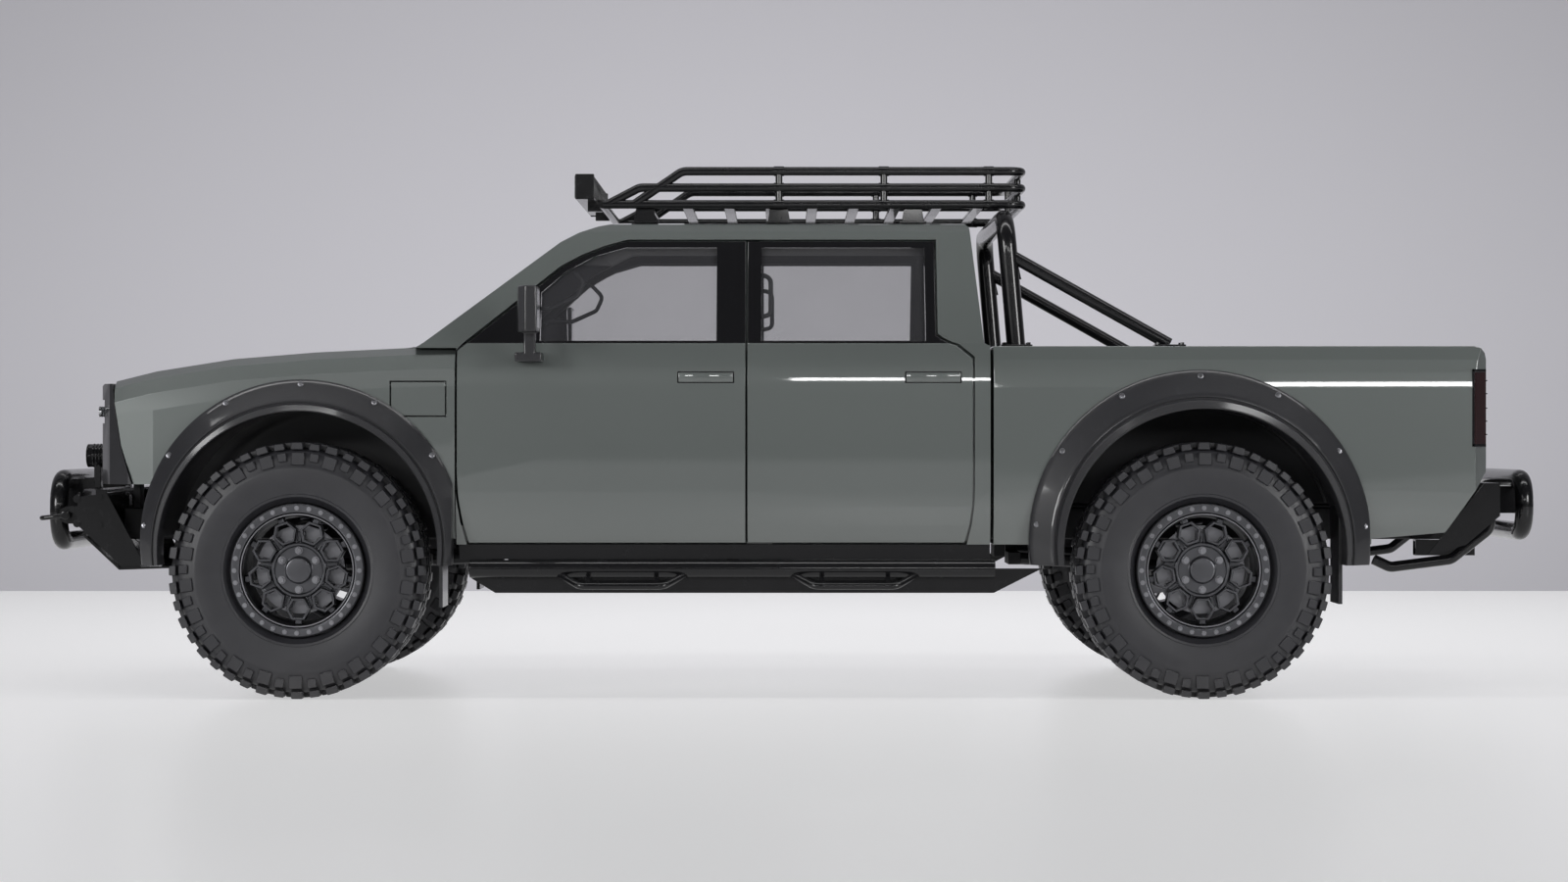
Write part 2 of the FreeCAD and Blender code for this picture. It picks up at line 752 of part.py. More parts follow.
def front_fascia():
    outer = along_z(nose_plan(0), fascia_low_z, nose_z)
    inner = along_z(nose_plan(fascia_wall), fascia_low_z - overrun, nose_z - fascia_wall / 2)
    shell = outer.cut(inner)
    profile = face_of(
        xz,
        (nose_x + nose_bow, fascia_low_z),
        (nose_x, side_low_z + fascia_wall),
        (nose_x, nose_z - nose_round * 3 / 2),
        ((nose_x + nose_round / 3, nose_z - nose_round / 2), (nose_x + nose_round, nose_z)),
        (fascia_split_x - panel_gap / 2, nose_z),
        (fascia_split_x + fascia_lean * fascia_lean_shares[0] - panel_gap / 2,
         side_high_z - fascia_drop / 6),
        (fascia_split_x + fascia_lean * fascia_lean_shares[1] - panel_gap / 2,
         side_high_z - fascia_drop * 2 / 3),
        (fascia_split_x + fascia_lean - panel_gap / 2, fascia_low_z),
    )
    shell = shell.common(along_y(profile, -body_half, body_half))
    bay = block(nose_x - overrun, nose_x + fascia_wall * 3, -grille_half, grille_half, grille_low_z,
                grille_low_z + grille_pitch * grille_bars + grille_bar)
    lamps = [block(nose_x - overrun, nose_x + nose_bow + lamp_depth, side * lamp_inner_y + lean,
                   side * lamp_inner_y + lean + lamp_outer_y - lamp_inner_y, lamp_low_z, lamp_high_z)
             for side, lean in ((1, 0), (-1, lamp_inner_y - lamp_outer_y))]
    shell = cut(shell, bay, *lamps)
    bars = [block(nose_x + nose_bow, nose_x + nose_bow + fascia_wall / 2, -grille_half, grille_half,
                  grille_low_z + grille_pitch * n, grille_low_z + grille_pitch * n + grille_bar)
            for n in range(grille_bars + 1)]
    back = block(nose_x + fascia_wall - seat_gap, nose_x + fascia_wall + grille_bar, -grille_half,
                 grille_half, grille_low_z, grille_low_z + grille_pitch * grille_bars + grille_bar)
    posts = [block(nose_x + nose_bow + fascia_wall / 4, nose_x + fascia_wall, y - grille_bar / 2,
                   y + grille_bar / 2, grille_low_z,
                   grille_low_z + grille_pitch * grille_bars + grille_bar)
             for y in (-grille_half / 2, 0, grille_half / 2)]
    return joined(shell, back, *bars, *posts)


nose_round = 38.0

spot_radius = 46.0
spot_length = 80.0
spot_y = 330.0
spot_z = 919.0
spot_front_x = -2762.0


def front_lamps():
    pieces = []
    for side in (1, -1):
        low = min(side * lamp_inner_y, side * lamp_outer_y) + seat_gap
        head = block(nose_x + nose_bow / 2, nose_x + nose_bow + lamp_depth - seat_gap, low,
                     low + lamp_outer_y - lamp_inner_y - 2 * seat_gap, lamp_low_z + seat_gap,
                     lamp_high_z - seat_gap)
        head = head.common(along_z(nose_plan(nose_bow / 4), lamp_low_z, lamp_high_z))
        spot = rod((spot_front_x, side * spot_y, spot_z), (spot_front_x + spot_length, side * spot_y, spot_z),
                   spot_radius)
        foot = block(spot_front_x + spot_length / 3, spot_front_x + spot_length * 2 / 3,
                     side * spot_y - spot_radius / 2, side * spot_y + spot_radius / 2,
                     bumper_top_z + seat_gap, spot_z)
        pieces += [head, joined(spot, foot)]
    return Part.makeCompound(pieces)


# Front bumper, hoop, skid plate and winch

bumper_front_x = -2742.0
bumper_back_x = -2602.0
bumper_low_z = 625.0
bumper_top_z = 790.0
bumper_half = hood_half
bumper_wall = 10.0
bumper_plate = 14.0
hoop_radius = 35.5
front_hoop_x = -2852.5
rear_hoop_run = 238.5
rear_hoop_x = bed_back_x + rear_hoop_run
hoop_margin = 300.0
hoop_half = bumper_half - hoop_margin
hoop_low_z = 546.0
hoop_high_z = 864.0
hoop_bracket = 36.0
hoop_bracket_y = 300.0
skid_margin = 280.0
skid_half = bumper_half - skid_margin
skid_wall = 8.0
skid_slot = 26.0
skid_slots = 5
skid_nose_z = 600.0
skid_low_z = 472.0
skid_mid_x = -2606.0
skid_back_x = -2372.0
eye_bore_radius = 12.5
eye_plate = 25.0
bumper_sweep = 190.0
eye_margin = 50.0
eye_y = bumper_half - bumper_sweep - eye_margin
eye_radius = 34.0
eye_x = -2800.0
eye_z = 688.0


def bumper_plan(wall):
    """Plan view of the bumper with its swept corners, set in by wall and open at the back."""
    half, front = bumper_half - wall, bumper_front_x + wall
    back, shoulder_x = bumper_back_x + overrun, bumper_back_x - bumper_plate * 3
    sweep_y = half - bumper_sweep
    return face_of(xy, (back, -half), (shoulder_x, -half), (front, -sweep_y), (front, sweep_y),
                   (shoulder_x, half), (back, half))


def front_bumper():
    beam = face_of(
        xz,
        (bumper_back_x, bumper_low_z),
        (bumper_front_x + bumper_plate * 2, bumper_low_z),
        (bumper_front_x, bumper_low_z + bumper_plate * 2),
        (bumper_front_x, bumper_top_z - bumper_plate * 2),
        (bumper_front_x + bumper_plate * 2, bumper_top_z),
        (bumper_back_x, bumper_top_z),
    )
    body = along_y(beam, -bumper_half, bumper_half).common(along_z(bumper_plan(0), 0, roof_z))
    hollow = along_z(bumper_plan(bumper_wall), bumper_low_z + bumper_wall, bumper_top_z - bumper_wall)
    body = cut(body, hollow, winch_window())
    wing = face_of(
        xz,
        (bumper_front_x + wing_lean, bumper_low_z + wing_lean),
        (bumper_front_x + wing_lean, bumper_top_z - wing_lean),
        (bumper_back_x, bumper_top_z - wing_lean / 2),
        (skid_back_x - wing_lean * 3, skid_low_z + wing_lean),
        (skid_mid_x + wing_lean * 2, skid_low_z + wing_lean),
    )
    wing = along_y(wing, bumper_half - bumper_plate, bumper_half)
    hoop = closed_tube(hoop_half - hoop_radius, hoop_low_z + hoop_radius, hoop_high_z - hoop_radius,
                       front_hoop_x, hoop_radius)
    arm = block(front_hoop_x, bumper_front_x + bumper_plate, hoop_bracket_y - bumper_plate,
                hoop_bracket_y, bumper_low_z + hoop_bracket, bumper_top_z + hoop_bracket)
    eye = joined(block(eye_x, bumper_front_x + bumper_plate, eye_y - eye_plate / 2, eye_y + eye_plate / 2,
                       eye_z - eye_radius, eye_z + eye_radius),
                 disc_y(eye_x, eye_z, eye_radius, eye_y - eye_plate / 2, eye_y + eye_plate / 2))
    eye = cut(eye, round_y(eye_x, eye_z, eye_bore_radius, 0, body_half))
    skid = face_of(
        xz,
        (bumper_front_x, skid_nose_z + bumper_plate * 2),
        (bumper_front_x, skid_nose_z),
        (skid_mid_x, skid_low_z),
        (skid_back_x, skid_low_z + skid_wall),
        (skid_back_x, skid_low_z + skid_wall * 2),
        (skid_mid_x + skid_wall / 2, skid_low_z + skid_wall),
        (bumper_front_x + skid_wall, skid_nose_z + skid_wall / 2),
        (bumper_front_x + skid_wall, skid_nose_z + bumper_plate * 2),
    )
    skid = along_y(skid, -skid_half, skid_half)
    pitch = skid_half * 2 / (skid_slots + 1)
    slots = [block(bumper_front_x + bumper_plate * 2, skid_mid_x - bumper_plate,
                   pitch * (n + 1) - skid_half - skid_slot / 2, pitch * (n + 1) - skid_half + skid_slot / 2,
                   0, skid_nose_z + overrun) for n in range(skid_slots)]
    skid = cut(skid, *slots)
    rib = face_of(xz, (bumper_back_x - bumper_plate * 3, bumper_low_z + bumper_wall), (bumper_back_x, bumper_low_z),
                  (skid_mid_x + wing_lean * 3, skid_low_z + skid_wall), (skid_mid_x, skid_low_z + skid_wall / 2))
    rib = along_y(rib, skid_half - bumper_plate * 2, skid_half - bumper_plate)
    return joined(body, wing, mirrored(wing), hoop, arm, mirrored(arm), eye, mirrored(eye), skid, rib,
                  mirrored(rib))


wing_lean = 28.0
winch_half = 250.0
winch_drum_radius = 46.0
winch_low_z = 642.0
winch_high_z = 762.0
winch_x = -2672.0
winch_clear = 6.0
fairlead_half = 135.0
fairlead_wall = 14.0
fairlead_x = -2902.0
fairlead_low_z = 650.0
fairlead_high_z = 758.0
roller_radius = 14.0
shackle_radius = 26.0
shackle_wire = 8.0


def winch_window():
    return block(bumper_front_x - overrun, bumper_back_x - winch_clear, -winch_half - winch_clear,
                 winch_half + winch_clear, winch_low_z - winch_clear, winch_high_z + winch_clear)


def winch():
    low, high = bumper_low_z + bumper_wall + seat_gap, winch_high_z
    centre_z = (winch_low_z + winch_high_z) / 2
    end_wall = winch_half * end_share
    drum = disc_y(winch_x, centre_z, winch_drum_radius, -winch_half + end_wall / 2, winch_half - end_wall / 2)
    ends = [block(bumper_front_x, bumper_back_x - winch_clear * 2, side * winch_half - (side > 0) * end_wall,
                  side * winch_half + (side < 0) * end_wall, low, high) for side in (1, -1)]
    rails = [block(fairlead_x, bumper_front_x + winch_clear, side * fairlead_half - fairlead_wall / 2,
                   side * fairlead_half + fairlead_wall / 2, fairlead_low_z, fairlead_high_z)
             for side in (1, -1)]
    plate = block(fairlead_x, fairlead_x + fairlead_wall, -fairlead_half, fairlead_half, fairlead_low_z,
                  fairlead_high_z)
    mouth = block(fairlead_x - overrun, fairlead_x + overrun, -fairlead_half / 2, fairlead_half / 2,
                  centre_z - roller_radius, centre_z + roller_radius)
    bridge = block(bumper_front_x, bumper_front_x + fairlead_wall, -winch_half, winch_half, low,
                   low + fairlead_wall)
    rollers = [disc_y(fairlead_x - roller_radius / 2, centre_z + side * roller_radius * 2, roller_radius,
                      -fairlead_half, fairlead_half) for side in (1, -1)]
    rope = rod((fairlead_x - roller_radius * 2, 0, centre_z), (winch_x, 0, centre_z), shackle_wire)
    middle = V(fairlead_x - roller_radius * 2 + shackle_wire, 0, centre_z - shackle_radius / 2)
    ring = tube_along(ring_points(middle, V(0, 1, 0), shackle_radius - shackle_wire, rod_sides), shackle_wire, True)
    return joined(drum, *ends, *rails, cut(plate, mouth), bridge, *rollers, rope, ring)


end_share = 0.24

# Bed: outer sides with their rail, tub, tailgate, tail lamps

bed_side_wall = 25.0
bed_rail_width = 270.0
bed_rail_inner = body_half - bed_rail_width
bed_tub_wall = 16.0
bed_corner_round = 50.0
tailgate_depth = 60.0
tailgate_inner_x = bed_back_x - tailgate_depth
tailgate_half = bed_rail_inner - panel_gap
tailgate_low_z = 885.0
tailgate_hinge_run = 29.0
tailgate_hinge_x = bed_back_x - tailgate_hinge_run
tailgate_hinge_z = 909.0
tailgate_pin_radius = 10.0
tail_lamp_depth = 57.0
tail_lamp_x = bed_back_x - tail_lamp_depth
tail_lamp_low_z = 962.0
tail_lamp_high_z = 1243.0
tail_lamp_margin = 12.0
tail_lamp_inner = bed_rail_inner + tail_lamp_margin
bed_tail_low_z = 859.0
bed_tail_lean = 160.0
bed_tail_foot_x = bed_back_x - bed_tail_lean
bed_tail_foot_z = 629.0
bed_arch_run = 647.0
bed_arch_back_x = rear_axle_x + bed_arch_run
bed_arch_back_z = 605.0


def side_section(low):
    """Section of one bed side, right, between the sill and the rail."""
    side, foot = body_half - low, sill_z - (overrun if low > 0 else 0)
    return face_of(
        yz,
        (bed_rail_inner + low, foot),
        (side - sill_tuck, foot),
        ((side - sill_tuck / 4, (sill_z + side_low_z) / 2), (side, side_low_z)),
        (side, side_high_z),
        ((side - belt_tuck / 4, (side_high_z + bed_rail_z) / 2), (side - belt_tuck, bed_rail_z - low)),
        (bed_rail_inner + low, bed_rail_z - low),
    )


def bed_outline():
    return face_of(
        xz,
        (bed_front_x, sill_z),
        (bed_front_x, bed_rail_z),
        (bed_back_x - bed_corner_round, bed_rail_z),
        ((bed_back_x - bed_corner_round * corner_share, bed_rail_z - bed_corner_round * corner_share),
         (bed_back_x, bed_rail_z - bed_corner_round)),
        (bed_back_x, bed_tail_low_z),
        (bed_tail_foot_x, bed_tail_foot_z),
        (bed_arch_back_x, bed_arch_back_z),
        (bed_arch_back_x, sill_z),
    )


corner_share = 0.29


def right_bed_side():
    span = (bed_front_x - overrun, bed_back_x + overrun)
    outer = along_x(side_section(0), *span).common(along_y(bed_outline(), 0, body_half * 2))
    cavity = along_x(side_section(bed_side_wall), bed_front_x + bed_side_wall, tailgate_inner_x - bed_side_wall)
    arch = round_y(rear_arch_x, arch_z, arch_radius, 0, body_half + overrun)
    lamp = block(tail_lamp_x, bed_back_x + overrun, tail_lamp_inner, body_half + overrun,
                 tail_lamp_low_z, tail_lamp_high_z)
    corner = along_z(face_of(xy, (bed_back_x + seat_gap, body_half - bed_corner_round),
                             (bed_back_x + seat_gap, body_half + seat_gap),
                             (bed_back_x - bed_corner_round, body_half + seat_gap)), 0, roof_z)
    pin = disc_y(tailgate_hinge_x, tailgate_hinge_z, bore_radius(tailgate_pin_radius, pin_sides), 0,
                 bed_rail_inner + gate_pin_reach, pin_sides)
    return cut(outer, cavity, arch, lamp, corner, pin)


def bed_sides():
    return both_sides(right_bed_side())


tub_half = bed_rail_inner - seat_gap
wheelbox_room = 245.0
wheelbox_inner = track_half - wheelbox_room
wheelbox_radius = 540.0
tub_back_x = tailgate_inner_x - panel_gap * 2


def bed_tub():
    floor = block(bed_front_x, tub_back_x, -tub_half, tub_half, bed_floor_z - bed_tub_wall, bed_floor_z)
    front = block(bed_front_x, bed_front_x + bed_tub_wall, -tub_half, tub_half,
                  bed_floor_z - bed_tub_wall, bed_rail_z)
    wall = block(bed_front_x, tub_back_x, tub_half - bed_tub_wall, tub_half, bed_floor_z - bed_tub_wall,
                 bed_rail_z - bed_side_wall)
    tub = joined(floor, front, wall, mirrored(wall))
    low = block(bed_front_x, bed_back_x, 0, body_half, 0, bed_floor_z - bed_tub_wall - wheelbox_skirt)
    for side in (1, -1):
        inside = round_y(rear_arch_x, arch_z, wheelbox_radius, side * wheelbox_inner, side * body_half)
        case = round_y(rear_arch_x, arch_z, wheelbox_radius + bed_tub_wall,
                      side * (wheelbox_inner - bed_tub_wall), side * tub_half)
        case = cut(case, inside, low if side > 0 else mirrored(low))
        tub = joined(cut(tub, inside), case)
    return tub


wheelbox_skirt = 150.0


def tailgate():
    outline = face_of(
        xz,
        (tailgate_inner_x, tailgate_low_z),
        (tailgate_inner_x, bed_rail_z),
        (bed_back_x - bed_corner_round, bed_rail_z),
        ((bed_back_x - bed_corner_round * corner_share, bed_rail_z - bed_corner_round * corner_share),
         (bed_back_x, bed_rail_z - bed_corner_round)),
        (bed_back_x, tailgate_low_z),
    )
    gate = along_y(outline, -tailgate_half, tailgate_half)
    recess = block(bed_back_x - gate_recess, bed_back_x + overrun, -gate_panel_half, gate_panel_half,
                   tailgate_low_z + gate_margin, bed_rail_z - gate_margin)
    grip = block(bed_back_x - gate_recess * 3, bed_back_x, -gate_grip_half, gate_grip_half,
                 bed_rail_z - gate_margin - gate_grip, bed_rail_z - gate_margin)
    pin = disc_y(tailgate_hinge_x, tailgate_hinge_z, tailgate_pin_radius, -tailgate_half - gate_pin_reach,
                 tailgate_half + gate_pin_reach, pin_sides)
    return joined(cut(gate, recess, grip), pin)


gate_recess = 6.0
gate_panel_half = 640.0
gate_margin = 95.0
gate_grip_half = 110.0
gate_grip = 45.0
gate_pin_reach = 30.0


def tail_lamps():
    lamp = block(tail_lamp_x + seat_gap, bed_back_x + seat_gap, tail_lamp_inner + seat_gap,
                 body_half + seat_gap, tail_lamp_low_z + seat_gap, tail_lamp_high_z - seat_gap)
    corner = along_z(face_of(xy, (bed_back_x + seat_gap * 2, body_half - bed_corner_round),
                             (bed_back_x + seat_gap * 2, body_half + seat_gap * 2),
                             (bed_back_x - bed_corner_round, body_half + seat_gap * 2)), 0, roof_z)
    return both_sides(cut(lamp, corner))


# Flares, liners and mud flaps

flare_reach = 85.0
flare_out = body_half + flare_reach
flare_face = 24.0
flare_opening = 526.0
flare_front_radius = 615.0
flare_front_x = -1831.0
flare_rear_radius = 652.0
flare_rear_shift = 10.0
flare_rear_x = rear_axle_x - flare_rear_shift
flare_z = 599.0
flare_foot_z = 505.0
flare_wall = 10.0
flare_root = 90.0
flare_seat_y = body_half - flare_root


def arch_ring(x, z, radius, y):
    return ring_points(V(x, y, z), V(0, 1, 0), radius, flare_sides)


def right_flare(x, radius, arch_x, back_limit, flap_x, envelope):
    """A tapering crescent over the wheel, open at the arch and seated on the body's side."""
    outer = skinned([arch_ring(x, flare_z, radius, flare_seat_y),
                     arch_ring(x, flare_z, radius - flare_wall, body_half + flare_wall),
                     arch_ring(arch_x, arch_z, flare_opening + flare_face, flare_out)])
    opening = skinned([arch_ring(arch_x, arch_z, flare_opening, y) for y in (0, body_half + overrun)])
    below = block(x - wheelbase, x + wheelbase, 0, body_half + overrun, -overrun, flare_foot_z)
    behind = block(back_limit, back_limit + wheelbase, 0, body_half + overrun, 0, roof_z)
    mud_flap = block(flap_x - seat_gap, back_limit, 0, flap_outer_y + seat_gap, 0, rear_flap_top_z)
    return cut(outer, envelope, opening, below, behind, mud_flap)


flare_sides = 32


def bed_side_whole(wall):
    return along_x(side_section(wall), bed_front_x - overrun, bed_back_x + overrun)


def fender_flares():
    front = right_flare(flare_front_x, flare_front_radius, front_arch_x, door_front_x - panel_gap * 3 / 2,
                        front_flap_x, clip_solid(-seat_gap))
    rear = right_flare(flare_rear_x, flare_rear_radius, rear_arch_x, bed_back_x, rear_flap_x,
                       bed_side_whole(-seat_gap))
    return Part.makeCompound([front, mirrored(front), rear, mirrored(rear)])


liner_radius = 541.0
liner_wall = 9.0
liner_run = 425.0
liner_inner_y = track_half - liner_run
liner_foot_z = 610.0
tower_hole = 50.0
front_flap_x = -1311.0
rear_flap_run = 520.0
rear_flap_x = rear_axle_x + rear_flap_run
mud_flap_wall = 14.0
front_flap_z = 344.0
rear_flap_z = 357.0
front_flap_top_z = 646.0
rear_flap_top_z = 725.0
flap_margin = 20.0
flap_outer_y = body_half - flap_margin
flap_width = 215.0
flap_inner_y = flap_outer_y - flap_width


def arch_disc(x, radius, y0, y1):
    return disc_y(x, arch_z, radius, y0, y1, flare_sides)


def right_liner(x, inner_y, envelope):
    """A band over the tyre, its outer edge cut to the body's side."""
    edge_radius = (arch_radius - seat_gap) * math.cos(math.pi / flare_sides)
    below = block(x - overrun * 2, x + overrun * 2, 0, body_half * 2, -overrun, liner_foot_z)
    band = cut(arch_disc(x, arch_radius - seat_gap, inner_y, body_half * 2),
               arch_disc(x, edge_radius - liner_wall, 0, body_half * 3), below)
    return band.common(envelope)


def arch_liners():
    front = right_liner(front_arch_x, liner_inner_y, clip_solid(0))
    apron = cut(arch_disc(front_arch_x, arch_radius - seat_gap, liner_inner_y, liner_inner_y + liner_wall),
                block(front_arch_x - overrun * 2, front_arch_x + overrun * 2, 0, body_half, -overrun, liner_foot_z),
                disc_y(front_axle_x, tower_z, tower_hole, 0, body_half))
    front_flap = block(front_flap_x, front_flap_x + mud_flap_wall, flap_inner_y, flap_outer_y, front_flap_z,
                       front_flap_top_z)
    rear = right_liner(rear_arch_x, bed_rail_inner, bed_side_whole(0))
    rear_flap = block(rear_flap_x, rear_flap_x + mud_flap_wall, flap_inner_y, flap_outer_y, rear_flap_z,
                      rear_flap_top_z)
    front, rear = joined(front, apron, front_flap), joined(rear, rear_flap)
    return Part.makeCompound([front, mirrored(front), rear, mirrored(rear)])


# Frame, battery, axles, suspension

rail_inner = 345.0
rail_outer = 420.0
rail_low_z = 590.0
rail_high_z = 715.0
frame_front_x = bumper_back_x + seat_gap
frame_tail = 114.0
frame_back_x = bed_back_x - frame_tail
cross_width = 90.0
cross_xs_share = (0.0, 0.19, 0.30, 0.64, 0.77, 0.985)
cross_run = frame_back_x - frame_front_x - cross_width
bed_sill_z = bed_floor_z - bed_tub_wall
bed_sill_width = 70.0
bed_sill_shares = (0.06, 0.35, 0.93)


def frame_rails():
    rail = block(frame_front_x, frame_back_x, rail_inner, rail_outer, rail_low_z, rail_high_z)
    return Part.makeCompound([rail, mirrored(rail)])


def frame_crossmembers():
    """Bars between the rails, sills under the bed and outriggers to the rock sliders."""
    crosses = [block(frame_front_x + cross_run * s, frame_front_x + cross_run * s + cross_width,
                     -rail_inner, rail_inner, rail_low_z + cross_width / 4, rail_high_z - cross_width / 4)
               for s in cross_xs_share]
    bed_length = tub_back_x - bed_front_x - bed_sill_width
    sills = [block(bed_front_x + bed_length * s, bed_front_x + bed_length * s + bed_sill_width,
                   -sill_reach, sill_reach, rail_high_z, bed_sill_z - seat_gap)
             for s in bed_sill_shares]
    outriggers = [block(x - cross_width / 2, x + cross_width / 2, rail_outer, outrigger_reach,
                        rail_low_z, rail_low_z + cross_width / 2)
                  for x in (slider_front_x + cross_width, (slider_front_x + slider_back_x) / 2,
                            slider_back_x - cross_width)]
    return Part.makeCompound([*crosses, *sills, *outriggers, *[mirrored(o) for o in outriggers]])


def frame_towers():
    """Spring towers over both axles and the horns behind the fascia, on top of the rails."""
    towers = [disc_y(front_axle_x, tower_z, cross_width / 2, rail_inner, spring_y + cross_width / 2),
              disc_y(rear_axle_x, tower_z, cross_width / 2, rail_inner, spring_y + cross_width / 2)]
    posts = [block(x - cross_width / 2, x + cross_width / 2, rail_inner, rail_outer, rail_high_z, tower_z)
             for x in (front_axle_x, rear_axle_x)]
    horn_x = nose_x + fascia_wall + grille_bar + seat_gap
    horn = block(horn_x, horn_x + horn_wall, rail_inner, rail_outer, rail_high_z, grille_low_z + horn_wall)
    half = [*map(joined, towers, posts), horn]
    return Part.makeCompound(half + [mirrored(s) for s in half])


horn_wall = 30.0


sill_reach = 560.0
tower_z = 800.0
outrigger_reach = hood_half
spring_y = 520.0

battery_front_x = frame_front_x + cross_run * cross_xs_share[2] + cross_width + seat_gap
battery_back_x = frame_front_x + cross_run * cross_xs_share[3] - seat_gap
battery_low_z = 468.0


def battery_pack():
    return block(battery_front_x, battery_back_x, -rail_inner + panel_gap, rail_inner - panel_gap,
                 battery_low_z, cab_floor_z - floor_wall - seat_gap)


axle_tube_radius = 48.0
axle_case_radius = 130.0
axle_case_half = 150.0
yoke_y = 700.0
kingpin_reach = 95.0
kingpin_radius = 20.0
yoke_arm = 40.0
hub_z = tyre_radius
spindle_radius = 38.0
spindle_end_y = 935.0
wheel_face_y = 905.0


def axle_beam(x, end_y):
    tube = disc_y(x, hub_z, axle_tube_radius, -end_y, end_y)
    case = disc_y(x, hub_z, axle_case_radius, -axle_case_half, axle_case_half)
    motor = disc_y(x + axle_case_radius, hub_z + axle_tube_radius / 2, axle_case_radius * motor_share,
                   -axle_case_half * 5 / 4, axle_case_half * 5 / 4)
    pad = block(x - axle_tube_radius, x + axle_tube_radius, spring_y - axle_tube_radius,
                spring_y + axle_tube_radius, hub_z, hub_z + axle_tube_radius * pad_share)
    return joined(tube, case, motor, pad, mirrored(pad))


motor_share = 0.85
pad_share = 1.4


def front_axle():
    """A driven beam with an open yoke at each end that holds the knuckle above and below."""
    beam = axle_beam(front_axle_x, yoke_y)
    yokes = []
    for side in (1, -1):
        web = block(front_axle_x - yoke_arm, front_axle_x + yoke_arm, min(side * yoke_y, side * (yoke_y - yoke_arm)),
                    max(side * yoke_y, side * (yoke_y - yoke_arm)), hub_z - kingpin_reach - yoke_arm,
                    hub_z + kingpin_reach + yoke_arm)
        yokes.append(web)
        for up in (1, -1):
            z_near, z_far = hub_z + up * kingpin_reach, hub_z + up * (kingpin_reach + yoke_arm)
            arm = block(front_axle_x - yoke_arm * yoke_taper_share, front_axle_x + yoke_arm * yoke_taper_share,
                        min(side * yoke_y, side * track_half), max(side * yoke_y, side * track_half),
                        min(z_near, z_far), max(z_near, z_far))
            end = rod((front_axle_x, side * track_half, min(z_near, z_far)),
                      (front_axle_x, side * track_half, max(z_near, z_far)), yoke_arm * yoke_taper_share)
            bore = rod((front_axle_x, side * track_half, min(z_near, z_far) - overrun),
                       (front_axle_x, side * track_half, max(z_near, z_far) + overrun),
                       bore_radius(kingpin_radius))
            yokes.append(cut(joined(arm, end), bore))
    return joined(beam, *yokes)


yoke_taper_share = 0.7


def left_knuckle():
    """Upright with its kingpins, spindle and steering arm."""
    y = -track_half
    upright = rod((front_axle_x, y, hub_z - kingpin_reach + seat_gap),
                  (front_axle_x, y, hub_z + kingpin_reach - seat_gap), yoke_arm * yoke_taper_share)
    pins = rod((front_axle_x, y, hub_z - kingpin_reach - yoke_arm), (front_axle_x, y, hub_z + kingpin_reach + yoke_arm),
               kingpin_radius)
    hub = disc_y(front_axle_x, hub_z, knuckle_hub_radius, y + yoke_arm, -wheel_face_y + seat_gap)
    spindle = disc_y(front_axle_x, hub_z, spindle_radius, y, -spindle_end_y)
    arm = block(front_axle_x, front_axle_x + steer_arm_x, y + yoke_arm * arm_in_share, y + yoke_arm,
                hub_z - kingpin_radius, hub_z + kingpin_radius)
    return joined(upright, pins, hub, spindle, arm)


knuckle_hub_radius = 72.0
steer_arm_x = 165.0
arm_in_share = 0.4


def rear_axle():
    beam = axle_beam(rear_axle_x, track_half)
    ends = []
    for side in (1, -1):
        ends.append(disc_y(rear_axle_x, hub_z, knuckle_hub_radius, side * (track_half - yoke_arm),
                           side * (wheel_face_y - seat_gap)))
        ends.append(disc_y(rear_axle_x, hub_z, spindle_radius, side * track_half, side * spindle_end_y))
    return joined(beam, *ends)


link_radius = 24.0
front_link_y = 382.0
rear_link_y = 580.0
link_reach = 690.0
link_frame_z = 520.0


def suspension_links():
    """Trailing arms under the frame, from an outrigger bracket to each axle."""
    links = []
    for axle_x, way, y in ((front_axle_x, 1, front_link_y), (rear_axle_x, -1, rear_link_y)):
        near = axle_x + way * (axle_tube_radius + seat_gap * 4)
        far = axle_x + way * link_reach
        arm = rod((far, y, link_frame_z), (near, y, hub_z), link_radius)
        under = y < rail_outer
        stand = block(far - link_radius, far + link_radius, front_link_y - link_radius, front_link_y + link_radius,
                      link_frame_z - link_radius, rail_low_z - seat_gap)
        ears = block(far - link_radius, far + link_radius, front_link_y - link_radius, y + link_radius,
                     link_frame_z - link_radius, link_frame_z + link_radius)
        links.append(joined(arm, stand) if under else joined(arm, ears, stand))
    return Part.makeCompound([s for link in links for s in (link, mirrored(link))])


spring_radius = 56.0
damper_radius = 24.0


def spring_dampers():
    units = []
    for x in (front_axle_x, rear_axle_x):
        foot = hub_z + axle_tube_radius * pad_share + seat_gap
        top = tower_z - cross_width / 2 - seat_gap
        unit = joined(rod((x, spring_y, foot), (x, spring_y, top), damper_radius),
                      rod((x, spring_y, foot + damper_radius), (x, spring_y, top - damper_radius), spring_radius))
        units += [unit, mirrored(unit)]
    return Part.makeCompound(units)


# Wheels

lug_count = 36
lug_fill_share = 0.62
lug_depth = 20.0
shoulder_lug_depth = 14.0
bead_radius = 258.0
rim_half_width = 128.0
tread_half = 160.0
centre_groove_half = 8.0


def wheel_ring(flat_radius, y, sides):
    """A ring of the wheel: its flats at flat_radius, one of them at the bottom."""
    corner = flat_radius / math.cos(math.pi / sides)
    return ring_points(V(0, y, 0), V(0, 1, 0), corner, sides, math.pi / sides + math.pi / 2)


def turned(profile, sides):
    """A ring of flats turned round the wheel's axis from (radius, y) corners."""
    return skinned([wheel_ring(radius, y, sides) for radius, y in profile], True)


